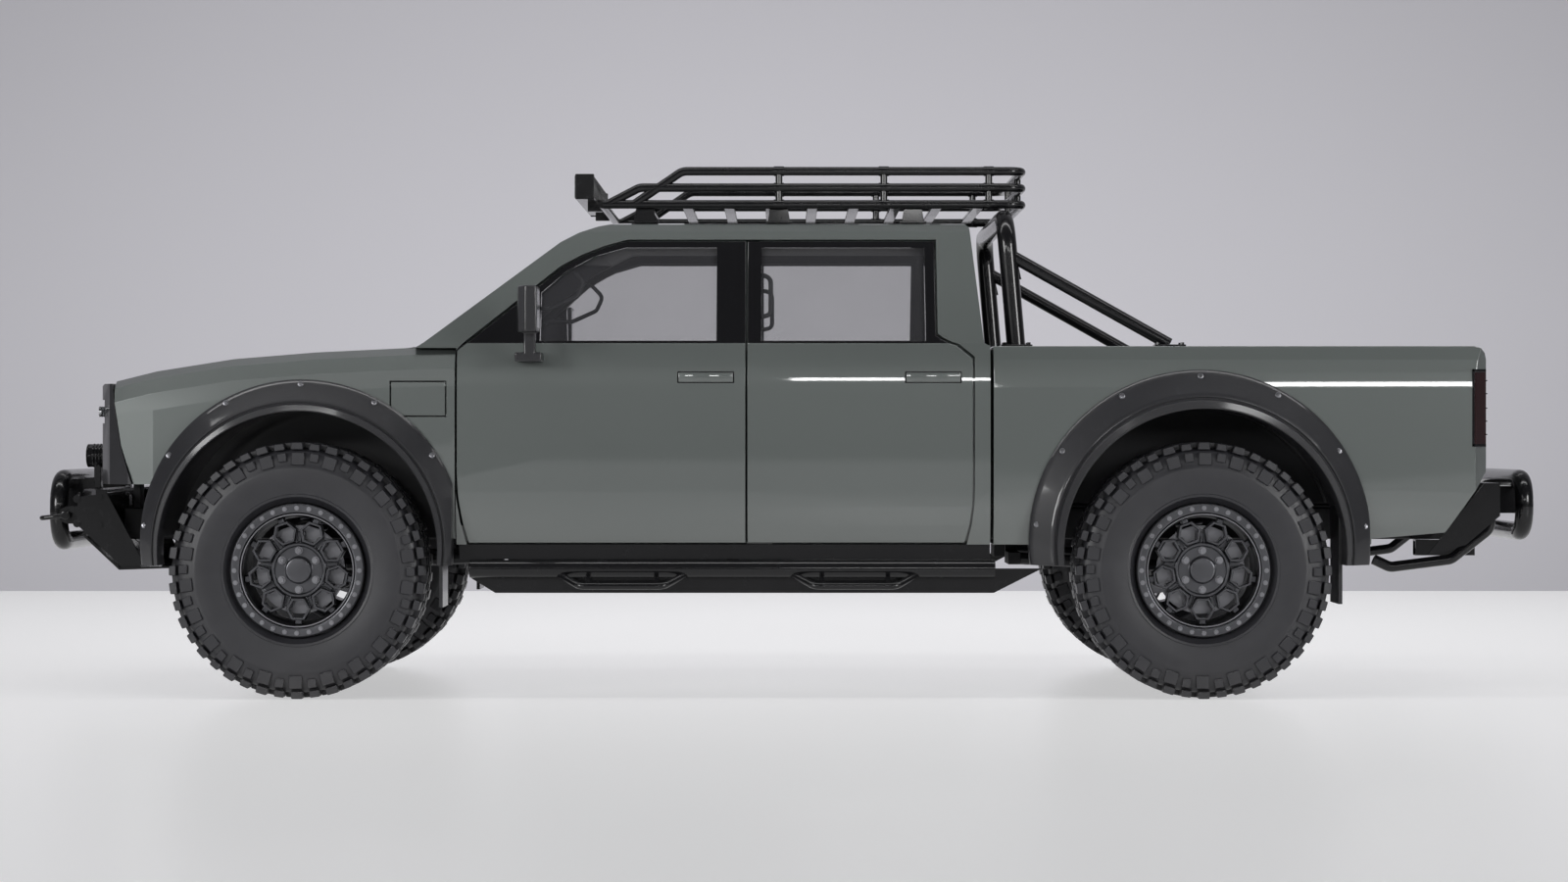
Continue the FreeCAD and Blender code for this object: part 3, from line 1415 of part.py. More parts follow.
def lug(side):
    """One tread lug at the bottom of the wheel, in the half row on one side."""
    groove = tyre_radius - lug_depth
    pitch = 2 * groove * math.tan(math.pi / lug_count)
    start = -pitch / 2 if side > 0 else pitch * (0.5 - lug_fill_share)
    low, high = sorted((side * centre_groove_half, side * tread_half))
    return block(start, start + pitch * lug_fill_share, low, high, -tyre_radius, -groove + lug_depth / 2)


def tyre():
    """Carcass with staggered rows of tread lugs, centred on the wheel."""
    groove = tyre_radius - lug_depth
    carcass = turned(((bead_radius, -rim_half_width), (groove - sidewall_drop * 2, -tyre_width / 2),
                      (groove, -tread_half), (groove, tread_half),
                      (groove - sidewall_drop * 2, tyre_width / 2), (bead_radius, rim_half_width)),
                     lug_count)
    lugs = []
    for side in (-1, 1):
        first = lug(side)
        for n in range(lug_count):
            turned_lug = first.copy()
            turned_lug.rotate(V(0, 0, 0), V(0, 1, 0), 360 / lug_count * n)
            lugs.append(turned_lug)
    return joined(carcass, *lugs)


sidewall_drop = 36.0

rim_sides = 27
rim_wall = 10.0
rim_flange = 18.0
bead_ring_inner = 213.0
cell_count = 9
cell_radius = 162.0
cell_across = 66.0
cell_wall = 9.0
hub_ring_radius = 99.0
lug_bolt_radius = 74.5
lug_bolts = 6
cap_radius = 49.0
disc_back_y = 900.0


def hexagon(radius, angle, across):
    """Six corners of a cell, one flat facing the hub."""
    spread = across / math.sqrt(3)
    centre = V(radius * math.cos(angle), 0, radius * math.sin(angle))
    points = []
    for n in range(6):
        turn = angle + math.pi / 6 + math.pi / 3 * n
        points.append(centre + V(spread * math.cos(turn), 0, spread * math.sin(turn)))
    return Part.Face(Part.Wire(Part.makePolygon(points + points[:1])))


dish_in = 56.0
dish_out = 98.0
cell_face = 122.0
spoke_wall = 16.0
bead_face = 150.0
hub_face = 104.0


def rim():
    """Beadlock rim about its own centre, its face towards +Y."""
    outside = bead_radius * math.cos(math.pi / rim_sides) - seat_gap
    barrel = turned((
        (bead_ring_inner - rim_wall, -rim_half_width),
        (outside, -rim_half_width),
        (outside, bead_face),
        (outside - rim_flange, bead_face + rim_flange / 2),
        (bead_ring_inner, bead_face),
        (bead_ring_inner, dish_out),
        (bead_ring_inner - rim_wall, dish_out - rim_wall),
    ), rim_sides)
    dish = skinned([wheel_ring(bead_ring_inner - rim_wall / 2, y, rim_sides) for y in (dish_in, dish_in + spoke_wall)])
    hub = disc_y(0, 0, hub_ring_radius, dish_in - spoke_wall, hub_face, rim_sides)
    shape = joined(barrel, dish, hub)
    cells, holes = [], []
    for n in range(cell_count):
        angle = -math.pi / 2 + math.tau / cell_count * n
        cells.append(along_y(hexagon(cell_radius, angle, cell_across), dish_in, cell_face))
        holes.append(along_y(hexagon(cell_radius, angle, cell_across - cell_wall * 2), 0, tyre_width))
        holes.append(along_y(wedge(angle + math.pi / cell_count), 0, tyre_width))
    bore = disc_y(0, 0, bore_radius(spindle_radius), -tyre_width, spindle_end_y - track_half + seat_gap)
    shape = cut(joined(shape, *cells), bore, *holes)
    nuts = []
    for n in range(lug_bolts):
        angle = math.tau / lug_bolts * n
        x, z = lug_bolt_radius * math.cos(angle), lug_bolt_radius * math.sin(angle)
        nuts.append(disc_y(x, z, rim_wall, hub_face - rim_wall, hub_face + rim_wall, nut_sides))
    cap = disc_y(0, 0, cap_radius, hub_face - rim_wall, hub_face + rim_wall)
    return joined(shape, cap, *nuts)


nut_sides = 6


def wedge(angle):
    """The triangular window between two cells, point towards the hub."""
    inner, outer = hub_ring_radius + cell_wall * 5, bead_ring_inner - cell_wall * 2
    spread = math.pi / cell_count * wedge_share
    points = [V(inner * math.cos(angle), 0, inner * math.sin(angle)),
              V(outer * math.cos(angle - spread), 0, outer * math.sin(angle - spread)),
              V(outer * math.cos(angle + spread), 0, outer * math.sin(angle + spread))]
    return Part.Face(Part.Wire(Part.makePolygon(points + points[:1])))


wedge_share = 0.5


def placed_wheel(shape, x, side):
    wheel = shape if side > 0 else mirrored(shape)
    moved = wheel.copy()
    moved.translate(V(x, side * track_half, hub_z))
    return moved


# Sills, sliders and steps

slider_front_x = -1190.0
slider_back_x = 798.0
slider_tuck = 5.0
slider_y = body_half - slider_tuck
slider_z = 492.0
slider_radius = 34.0
rocker_low_z = 527.0
rocker_tuck = 45.0
rocker_width = 95.0
rocker_outer = body_half - rocker_tuck
rocker_inner = rocker_outer - rocker_width
step_plate_low_z = 399.0
step_plate_high_z = 455.0
step_plate_wall = 12.0
step_loop_radius = 13.0
step_loop_reach = 70.0
step_loops = ((-862.0, -364.0), (24.0, 514.0))
slider_leg = 46.0


def right_slider():
    rocker = block(slider_front_x - slider_leg, cab_corner_x, rocker_inner, rocker_outer, rocker_low_z,
                   sill_z - seat_gap)
    tube = rod((slider_front_x, slider_y, slider_z), (slider_back_x, slider_y, slider_z), slider_radius)
    plate = face_of(
        xz,
        (slider_front_x + slider_leg * 2, step_plate_low_z),
        (slider_back_x, step_plate_low_z),
        (slider_back_x + slider_leg * 4, slider_z),
        (slider_back_x + slider_leg, slider_z),
        (slider_front_x, slider_z),
        (slider_front_x, step_plate_high_z),
    )
    plate = along_y(plate, slider_y - slider_radius - step_plate_wall / 2,
                    slider_y - slider_radius + step_plate_wall / 2)
    legs = [block(x - slider_leg / 2, x + slider_leg / 2, outrigger_reach - slider_leg,
                  slider_y - slider_radius / 2, slider_z - slider_leg / 2, slider_z + slider_leg / 4)
            for x in (slider_front_x + cross_width, (slider_front_x + slider_back_x) / 2,
                      slider_back_x - cross_width)]
    feet = [block(x - slider_leg / 2, x + slider_leg / 2, outrigger_reach - slider_leg, outrigger_reach,
                  slider_z - slider_leg / 2, rail_low_z - seat_gap)
            for x in (slider_front_x + cross_width, (slider_front_x + slider_back_x) / 2,
                      slider_back_x - cross_width)]
    loops = []
    for start, end in step_loops:
        out = slider_y + slider_radius + step_loop_reach
        loops.append(bent_tube([(start, slider_y, slider_z - slider_radius / 2), (start + slider_leg * 2, out, step_loop_z),
                                (end - slider_leg * 2, out, step_loop_z), (end, slider_y, slider_z - slider_radius / 2)],
                               step_loop_radius, slider_leg))
    return rocker, joined(tube, plate, *legs, *feet, *loops)


step_loop_z = 430.0


def rock_sliders():
    rocker, slider = right_slider()
    return Part.makeCompound([rocker, mirrored(rocker), slider, mirrored(slider)])


# Roof rack, light bar, roll bar

rack_front_x = -706.0
rack_back_x = 928.0
rack_half = 603.0
rack_low_z = 1899.0
rack_mid_z = 1964.0
rack_top_z = 2028.0
rack_radius = 17.0
rack_bend = 60.0
rack_slats = 9
rack_slat_width = 42.0
rack_slat_wall = 12.0
rack_slope = 250.0
rack_post_shares = (0.42, 0.67, 0.92)
rack_foot_shares = (0.1, 0.42, 0.74)
rack_foot = 90.0
rack_foot_half = 566.0
rack_foot_wall = 14.0


def rack_loop(z, front_x):
    """A rail round the sides and back, open at the front."""
    return bent_tube([(front_x, -rack_half, z), (rack_back_x, -rack_half, z), (rack_back_x, rack_half, z),
                      (front_x, rack_half, z)], rack_radius, rack_bend)


def roof_rack():
    base = rack_loop(rack_low_z, rack_front_x)
    front = rod((rack_front_x, -rack_half - rack_radius / 2, rack_low_z),
                (rack_front_x, rack_half + rack_radius / 2, rack_low_z), rack_radius)
    pieces = [front]
    for z, slope in ((rack_mid_z, rack_slope / 3), (rack_top_z, rack_slope)):
        start = rack_front_x + slope
        pieces.append(bent_tube(
            [(start - (z - rack_low_z), -rack_half, rack_low_z), (start + rack_bend, -rack_half, z),
             (rack_back_x, -rack_half, z), (rack_back_x, rack_half, z), (start + rack_bend, rack_half, z),
             (start - (z - rack_low_z), rack_half, rack_low_z)], rack_radius, rack_bend))
    length = rack_back_x - rack_front_x
    for share in rack_post_shares:
        for side in (1, -1):
            x = rack_front_x + length * share
            pieces.append(rod((x, side * rack_half, rack_low_z), (x, side * rack_half, rack_top_z),
                              rack_radius * post_share))
    for y in (-rack_half / 2, 0, rack_half / 2):
        pieces.append(rod((rack_back_x, y, rack_low_z), (rack_back_x, y, rack_top_z), rack_radius * post_share))
    pitch = length / (rack_slats + 1)
    for n in range(rack_slats):
        x = rack_front_x + pitch * (n + 1)
        pieces.append(block(x - rack_slat_width / 2, x + rack_slat_width / 2, -rack_half, rack_half,
                            rack_low_z - rack_slat_wall / 2, rack_low_z + rack_slat_wall / 2))
    for share in rack_foot_shares:
        for side in (1, -1):
            x = rack_front_x + length * share
            inner, outer = sorted((side * rack_foot_half, side * (rack_foot_half + rack_foot_wall)))
            pieces.append(block(x - rack_foot / 2, x + rack_foot / 2, inner, outer, roof_edge_z, rack_low_z))
            pieces.append(block(x - rack_foot / 2, x + rack_foot / 2, *sorted((side * rack_foot_half, side * rack_half)),
                                rack_low_z - rack_slat_wall, rack_low_z))
    roof = cab_outside()
    roof.translate(V(0, 0, seat_gap))
    return cut(joined(base, *pieces), roof)


post_share = 0.8
light_bar_x = -780.0
light_bar_half = 560.0
light_bar_depth = 72.0
light_bar_low_z = 1925.0
light_bar_high_z = 2018.0


def light_bar():
    profile = face_of(
        xz,
        (light_bar_x - light_bar_depth / 2, light_bar_low_z),
        (light_bar_x - light_bar_depth / 2, light_bar_high_z),
        (light_bar_x + light_bar_depth / 4, light_bar_high_z),
        (light_bar_x + light_bar_depth / 2, light_bar_high_z - light_bar_depth / 2),
        (light_bar_x + light_bar_depth / 2, light_bar_low_z),
    )
    bar = along_y(profile, -light_bar_half, light_bar_half)
    foot = block(light_bar_x, rack_front_x - rack_radius - seat_gap, light_bar_half / 2,
                 light_bar_half / 2 + light_bar_foot, rack_low_z - light_bar_foot / 4,
                 light_bar_low_z + light_bar_foot / 4)
    return joined(bar, foot, mirrored(foot))


light_bar_foot = 40.0
roll_radius = 36.0
roll_half = 752.0
roll_foot_x = 895.0
roll_top_x = 852.0
roll_top_z = 1838.0
roll_bend = 110.0
stay_radius = 24.0
stay_foot_x = 1485.0
stay_top_drop = 60.0
foot_plate = 60.0
foot_plate_wall = 10.0


def roll_bar():
    """A hoop across the bed behind the cab with one long stay each side."""
    hoop = bent_tube([(roll_foot_x, -roll_half, bed_rail_z + seat_gap), (roll_top_x, -roll_half, roll_top_z),
                      (roll_top_x, roll_half, roll_top_z), (roll_foot_x, roll_half, bed_rail_z + seat_gap)],
                     roll_radius, roll_bend)
    lean = (roll_foot_x - roll_top_x) / (roll_top_z - bed_rail_z)
    pieces = []
    for side in (1, -1):
        top_z = roll_top_z - roll_bend - stay_top_drop / 2
        pieces.append(rod((roll_top_x + lean * (roll_top_z - top_z), side * roll_half, top_z),
                          (stay_foot_x, side * roll_half, bed_rail_z + seat_gap + stay_radius / 2), stay_radius))
        for x in (roll_foot_x, stay_foot_x):
            pieces.append(block(x - foot_plate, x + foot_plate, side * roll_half - foot_plate * plate_share,
                                side * roll_half + foot_plate * plate_share, bed_rail_z + seat_gap,
                                bed_rail_z + seat_gap + foot_plate_wall))
    rail = block(bed_front_x, bed_back_x, -body_half, body_half, bed_floor_z, bed_rail_z + seat_gap)
    return cut(joined(hoop, *pieces), rail)


plate_share = 0.75

# Rear bumper with hoop, skid tubes and hitch receiver

rear_plate_front_x = bed_back_x + panel_gap
rear_bumper_run = 67.0
rear_bumper_x = bed_back_x + rear_bumper_run
rear_bumper_top_z = 816.0
rear_bumper_low_z = 690.0
rear_bumper_margin = 120.0
rear_bumper_half = body_half - rear_bumper_margin
rear_hoop_low_z = 585.0
receiver_half = 31.75
receiver_wall = 6.35
receiver_length = 240.0
receiver_front_x = frame_back_x
receiver_back_x = receiver_front_x + receiver_length
receiver_z = rear_hoop_low_z - panel_gap - receiver_half
receiver_pin_radius = 8.25
receiver_pin_run = 55.0
receiver_pin_x = receiver_back_x - receiver_pin_run
skid_tube_radius = 20.0
rear_skid_points_share = ((0.0, 0.2), (0.14, 0.0), (0.66, 0.2), (1.0, 1.0))
rear_skid_length = 454.0
rear_skid_margin = 6.0
rear_skid_back_x = rear_bumper_x - rear_skid_margin
rear_skid_front_x = rear_skid_back_x - rear_skid_length
rear_skid_low_z = 489.0
rear_skid_high_z = 640.0
rear_skid_y = bed_rail_inner


def rear_bumper():
    profile = face_of(
        xz,
        (rear_plate_front_x, rear_bumper_top_z),
        (rear_bumper_x, rear_bumper_top_z),
        (rear_bumper_x, rear_bumper_low_z),
        (rear_plate_front_x, rear_bumper_low_z - bumper_plate * 2),
    )
    beam = along_y(profile, -rear_bumper_half, rear_bumper_half)
    wing = face_of(
        xz,
        (rear_plate_front_x, rear_bumper_top_z),
        (rear_bumper_x, rear_bumper_top_z),
        (rear_bumper_x, rear_bumper_low_z),
        (rear_bumper_x - wing_run * wing_shares[0], rear_bumper_low_z - wing_run * wing_shares[1]),
        (rear_bumper_x - wing_run, rear_bumper_low_z - wing_run * wing_shares[2]),
    )
    wing = along_y(wing, rear_bumper_half - bumper_plate, rear_bumper_half)
    hoop = closed_tube(hoop_half - hoop_radius, rear_hoop_low_z + hoop_radius, hoop_high_z - hoop_radius,
                       rear_hoop_x, hoop_radius)
    arm = block(rear_bumper_x - bumper_plate, rear_hoop_x, hoop_bracket_y - bumper_plate, hoop_bracket_y,
                rear_bumper_low_z, rear_bumper_top_z - hoop_bracket / 2)
    run, rise = rear_skid_back_x - rear_skid_front_x, rear_skid_high_z - rear_skid_low_z
    route = [(rear_skid_front_x + run * u, rear_skid_y, rear_skid_low_z + rise * v)
             for u, v in rear_skid_points_share]
    route.append((rear_bumper_x - bumper_plate, rear_skid_y, rear_bumper_low_z + skid_tube_radius))
    tube = bent_tube(route, skid_tube_radius, skid_tube_bend)
    mount = block(frame_back_x - cross_width, rear_plate_front_x + bumper_plate, rail_outer + seat_gap,
                  rail_outer + bumper_plate, rail_low_z, rail_high_z - panel_gap)
    receiver = block(receiver_front_x, receiver_back_x, -receiver_half, receiver_half,
                     receiver_z - receiver_half, receiver_z + receiver_half)
    hanger = block(rear_plate_front_x, rear_plate_front_x + bumper_plate, -receiver_half, receiver_half,
                   receiver_z + receiver_half - seat_gap, rear_bumper_low_z)
    bumper = joined(beam, wing, mirrored(wing), hoop, arm, mirrored(arm), tube, mirrored(tube), mount,
                    mirrored(mount), receiver, hanger)
    return cut(bumper, *receiver_bores())


def receiver_bores():
    """The square socket and the pin bore through both of its walls."""
    inner = receiver_half - receiver_wall
    socket = block(receiver_front_x - overrun, receiver_back_x + overrun, -inner, inner,
                   receiver_z - inner, receiver_z + inner)
    return socket, round_y(receiver_pin_x, receiver_z, receiver_pin_radius, -receiver_half * 2, receiver_half * 2)


wing_run = 278.0
wing_shares = (0.47, 0.4, 0.54)
skid_tube_bend = 50.0

# Inside: dashboard, steering wheel, seats

dash_front_x = door_front_x + roof_depth + seat_gap
dash_back_x = -830.0
dash_low_z = 960.0
dash_high_z = 1325.0
dash_margin = 150.0
dash_half = body_half - dash_margin
column_y = -380.0
wheel_x = -705.0
wheel_z = 1165.0
wheel_rim_radius = 170.0
wheel_wire = 15.0
column_radius = 22.0
column_tilt_deg = 24.0


def dashboard():
    profile = face_of(
        xz,
        (dash_front_x, dash_low_z),
        (dash_front_x, dash_high_z),
        ((dash_front_x + (dash_back_x - dash_front_x) / 2, dash_high_z + wheel_wire),
         (dash_back_x, dash_high_z - wheel_wire * 3)),
        (dash_back_x - wheel_wire, dash_high_z - wheel_wire * 8),
        (dash_front_x + wheel_rim_radius, dash_low_z),
    )
    body = along_y(profile, -dash_half, dash_half)
    console = block(dash_front_x, console_back_x, -console_half, console_half, cab_floor_z + seat_gap,
                    console_top_z)
    tilt = V(-math.cos(math.radians(column_tilt_deg)), 0, -math.sin(math.radians(column_tilt_deg)))
    near = V(wheel_x, column_y, wheel_z) + tilt * (wheel_wire * 3)
    column = rod(tuple(near), tuple(near + tilt * (wheel_rim_radius + column_radius * 2)), column_radius)
    return joined(body, console, column)


console_back_x = -250.0
console_half = 110.0
console_top_z = 1060.0


def steering_wheel():
    tilt = V(-math.cos(math.radians(column_tilt_deg)), 0, -math.sin(math.radians(column_tilt_deg)))
    centre = V(wheel_x, column_y, wheel_z)
    path = ring_points(centre, tilt, wheel_rim_radius - wheel_wire, rod_sides * 2)
    ring = tube_along(path, wheel_wire, True)
    hub = flat_face(ring_points(centre, tilt, column_radius * 2, rod_sides)).extrude(tilt * (wheel_wire * 3 - seat_gap))
    spokes = [rod(tuple(centre), tuple(path[n]), wheel_wire * spoke_share) for n in (0, rod_sides // 2, rod_sides)]
    return joined(ring, hub, *spokes)


spoke_share = 0.7
seat_width = 520.0
seat_y = 395.0
seat_front_x = -520.0
seat_back_x = -20.0
seat_low_z = 930.0
seat_cushion = 120.0
seat_top_z = 1325.0
seat_back_wall = 115.0
seat_lean = 60.0
rear_seat_front_x = 130.0
rear_seat_back_x = 590.0
rear_seat_half = bed_rail_inner


def seat(front_x, back_x, y0, y1):
    """Cushion and backrest as one closed form, on a plinth."""
    profile = face_of(
        xz,
        (front_x, seat_low_z),
        (front_x, seat_low_z + seat_cushion),
        (back_x - seat_back_wall / 2, seat_low_z + seat_cushion - seat_lean / 4),
        (back_x - seat_back_wall / 2 + seat_lean, seat_top_z),
        (back_x + seat_back_wall / 2 + seat_lean, seat_top_z),
        (back_x + seat_back_wall / 2, seat_low_z),
    )
    plinth = block(front_x + seat_lean, back_x, y0 + seat_lean, y1 - seat_lean, cab_floor_z + seat_gap, seat_low_z)
    return joined(along_y(profile, y0, y1), plinth)


def front_seats():
    return both_sides(seat(seat_front_x, seat_back_x, seat_y - seat_width / 2, seat_y + seat_width / 2))


def rear_seat():
    return seat(rear_seat_front_x, rear_seat_back_x, -rear_seat_half, rear_seat_half)


# Grab handles on the front and middle pillars

grip_radius = 9.0
grip_bend = 26.0
front_grip_spots = ((-1030.0, 164.0, 1490.0), (-905.0, 208.0, 1486.0), (-800.0, 235.0, 1532.0),
                    (-772.0, 248.0, 1590.0), (-840.0, 237.0, 1660.0))
middle_grip_low_z = 1441.0
middle_grip_high_z = 1630.0
middle_grip_reach = 92.0
middle_grip_low_inset = 136.0
middle_grip_high_step = 8.0
middle_grip_low_y = body_half - middle_grip_low_inset
middle_grip_high_y = glass_top_half + middle_grip_high_step


def front_grip_points():
    """The path of the front grip, each spot given by its inset from the body's side."""
    return [(x, body_half - inset, z) for x, inset, z in front_grip_spots]


def middle_grip_points():
    near, far = door_split_x, door_split_x + middle_grip_reach
    rise = middle_grip_high_z - middle_grip_low_z
    slip = middle_grip_high_y - middle_grip_low_y
    return [(near, middle_grip_low_y, middle_grip_low_z),
            (far, middle_grip_low_y + slip / 2, middle_grip_low_z + rise / 9),
            (far, middle_grip_high_y + slip / 4, middle_grip_high_z - rise / 9),
            (near, middle_grip_high_y, middle_grip_high_z)]


def grab_handles():
    pieces = []
    wall = cab_half(0, 0).cut(cab_half(roof_depth, roof_depth))
    for points in (front_grip_points(), middle_grip_points()):
        grip = cut(bent_tube(points, grip_radius, grip_bend), wall)
        pieces += [grip, mirrored(grip)]
    return Part.makeCompound(pieces)


# Mirrors

mirror_front_x = -991.0
mirror_back_x = -924.0
mirror_low_z = 1386.0
mirror_high_z = 1559.0
mirror_reach = 55.0
mirror_width = 180.0
mirror_inner_y = body_half + mirror_reach
mirror_outer_y = mirror_inner_y + mirror_width
mirror_arm_z = 1300.0
mirror_arm = 46.0


def right_mirror():
    housing = face_of(
        xy,
        (mirror_back_x, mirror_inner_y),
        (mirror_back_x, mirror_outer_y),
        (mirror_front_x + mirror_arm / 2, mirror_outer_y),
        ((mirror_front_x + mirror_arm / 8, mirror_outer_y - mirror_arm / 2),
         (mirror_front_x, mirror_inner_y + mirror_arm)),
        (mirror_front_x, mirror_inner_y),
    )
    housing = along_z(housing, mirror_low_z, mirror_high_z)
    stalk = block(mirror_front_x + mirror_arm / 4, mirror_back_x - mirror_arm / 4, mirror_inner_y + mirror_arm / 2,
                  mirror_inner_y + mirror_arm * 3 / 2, mirror_arm_z - mirror_arm / 2, mirror_low_z)
    arm = block(mirror_front_x - mirror_arm / 2, mirror_back_x + mirror_arm / 4, mirror_seat_y,
                mirror_inner_y + mirror_arm * 3 / 2, mirror_arm_z - mirror_arm / 2, mirror_arm_z + mirror_arm / 4)
    return cut(joined(housing, stalk, arm), cab_half(-seat_gap, -seat_gap))


mirror_root = 70.0
mirror_seat_y = body_half - mirror_root


def hood_pins():
    """Hinge pins of the hood, on brackets from the cowl."""
    brackets = []
    for y in (hood_lug_y - hood_lug - seat_gap, hood_lug_y + hood_lug + seat_gap):
        brackets.append(block(hood_hinge_x, cowl_front_x + hood_lug, y, y + hood_lug,
                              hood_hinge_z - hood_pin_radius * 2, hood_hinge_z + hood_pin_radius))
    pin = disc_y(hood_hinge_x, hood_hinge_z, hood_pin_radius, hood_lug_y - hood_lug, hood_lug_y + hood_lug * 2,
                 pin_sides)
    return joined(pin, *brackets)


def nodes():
    """Every sub-part by name."""
    doors = {"front": (front_door_outline, front_window, door_front_x),
             "rear": (rear_door_outline, rear_window, door_split_x)}
    parts = {
        "frame_rails": frame_rails(),
        "frame_crossmembers": frame_crossmembers(),
        "frame_towers": frame_towers(),
        "battery_pack": battery_pack(),
        "front_axle": front_axle(),
        "rear_axle": rear_axle(),
        "suspension_links": suspension_links(),
        "spring_dampers": spring_dampers(),
        "cab_shell": joined(cab_shell(), hood_pins(), mirrored(hood_pins())),
        "cab_floor": cab_floor(),
        "cab_glass": cab_glass(),
        "dashboard": dashboard(),
        "steering_wheel": steering_wheel(),
        "front_seats": front_seats(),
        "rear_seat": rear_seat(),
        "front_fenders": front_fenders(),
        "charge_flap": charge_flap(),
        "hood": hood(),
        "front_fascia": front_fascia(),
        "front_lamps": front_lamps(),
        "front_bumper": front_bumper(),
        "winch": winch(),
        "bed_sides": bed_sides(),
        "bed_tub": bed_tub(),
        "tailgate": tailgate(),
        "tail_lamps": tail_lamps(),
        "fender_flares": fender_flares(),
        "arch_liners": arch_liners(),
        "rock_sliders": rock_sliders(),
        "roof_rack": roof_rack(),
        "light_bar": light_bar(),
        "roll_bar": roll_bar(),
        "rear_bumper": rear_bumper(),
        "knuckle_left": left_knuckle(),
        "knuckle_right": mirrored(left_knuckle()),
        "grab_handles": grab_handles(),
        "mirror_left": mirrored(right_mirror()),
        "mirror_right": right_mirror(),
    }
    for place, (outline, window, front_x) in doors.items():
        door, glass = right_door(outline, window, front_x), right_glass(window)
        parts[f"door_{place}_left"] = mirrored(door)
        parts[f"door_{place}_right"] = door
        parts[f"glass_{place}_left"] = mirrored(glass)
        parts[f"glass_{place}_right"] = glass
    rubber, metal = tyre(), rim()
    for place, x in (("front", front_axle_x), ("rear", rear_axle_x)):
        for name, side in (("left", -1), ("right", 1)):
            parts[f"tyre_{place}_{name}"] = placed_wheel(rubber, x, side)
            parts[f"rim_{place}_{name}"] = placed_wheel(metal, x, side)
    return parts


os.makedirs("parts", exist_ok=True)
for name, shape in nodes().items():
    shape.exportStep(f"parts/{name}.step")
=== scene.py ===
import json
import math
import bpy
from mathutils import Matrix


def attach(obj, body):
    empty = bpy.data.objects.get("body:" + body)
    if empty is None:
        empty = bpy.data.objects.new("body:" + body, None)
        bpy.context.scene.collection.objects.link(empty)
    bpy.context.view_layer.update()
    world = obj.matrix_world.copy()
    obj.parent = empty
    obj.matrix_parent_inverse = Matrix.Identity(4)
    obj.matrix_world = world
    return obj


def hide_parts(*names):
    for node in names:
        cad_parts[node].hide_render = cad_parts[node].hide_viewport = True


bl_info = {
    "name": "Off-road pickup",
    "version": (1, 1, 0),
    "blender": (4, 5, 0),
    "location": "View3D > Sidebar > Pickup",
    "description": "Dresses a lifted four-door pickup: body, wheels, armour, rack, cabin and studio",
    "category": "Object",
}

import bmesh
import bpy
from mathutils import Matrix, Vector

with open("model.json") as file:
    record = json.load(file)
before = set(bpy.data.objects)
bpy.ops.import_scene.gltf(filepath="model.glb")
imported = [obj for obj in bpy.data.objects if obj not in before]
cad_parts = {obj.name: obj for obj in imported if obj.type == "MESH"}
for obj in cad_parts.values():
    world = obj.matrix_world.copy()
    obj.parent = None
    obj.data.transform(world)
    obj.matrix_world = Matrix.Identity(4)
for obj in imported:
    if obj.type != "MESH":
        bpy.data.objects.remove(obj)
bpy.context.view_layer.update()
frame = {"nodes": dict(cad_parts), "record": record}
record = frame["record"]

ALONG, ACROSS, UP, FORWARD = (1, 0, 0), (0, 1, 0), (0, 0, 1), (-1, 0, 0)
ORIGIN = (0, 0, 0)
QUARTER = math.pi / 2
FRONT_X, REAR_X = -1.842, 1.588
HUB_Z, TRACK = 0.487, 0.865
BELT_Z = 1.349
CABIN_MIDDLE = (-0.3, 0, 1.2)
CABIN_ROOM = ((-1.4, 0.76), (-0.93, 0.93), (0.72, 1.81))
SCREEN_BACK_X, REAR_SCREEN_X = -0.84, 0.7
HOOP_HALF_Y, HOOP_TOP_Z, HOOP_TUBE = 0.5, 0.864, 0.0355
WALL_Y = 8.9
CAMERA = (0, -14.73, 0.977)
SIDES = (("left", -1), ("right", 1))
WHEELS = (("front", FRONT_X), ("rear", REAR_X))


# Settings

class PickupLook(bpy.types.PropertyGroup):
    """Colours of the pickup and of its studio"""
    body: bpy.props.FloatVectorProperty(
        name="Body paint", description="Sage grey of the body panels", subtype="COLOR", size=3, min=0, max=1,
        default=(0.122, 0.138, 0.132))
    steel: bpy.props.FloatVectorProperty(
        name="Coated steel", description="Bumpers, rack, roll bar and sliders", subtype="COLOR", size=3,
        min=0, max=1, default=(0.007, 0.007, 0.008))
    trim: bpy.props.FloatVectorProperty(
        name="Moulded trim", description="Flares, fascia and mirrors", subtype="COLOR", size=3, min=0, max=1,
        default=(0.021, 0.021, 0.024))
    wheel: bpy.props.FloatVectorProperty(
        name="Wheels", description="Gunmetal of the rims", subtype="COLOR", size=3, min=0, max=1,
        default=(0.095, 0.096, 0.104))
    rubber: bpy.props.FloatVectorProperty(
        name="Tyres", description="Tread and sidewall rubber", subtype="COLOR", size=3, min=0, max=1,
        default=(0.027, 0.027, 0.031))
    floor: bpy.props.FloatVectorProperty(
        name="Floor", description="Studio floor", subtype="COLOR", size=3, min=0, max=1,
        default=(0.4, 0.4, 0.4))
    wall: bpy.props.FloatVectorProperty(
        name="Wall", description="Studio wall", subtype="COLOR", size=3, min=0, max=1,
        default=(0.42, 0.412, 0.44))


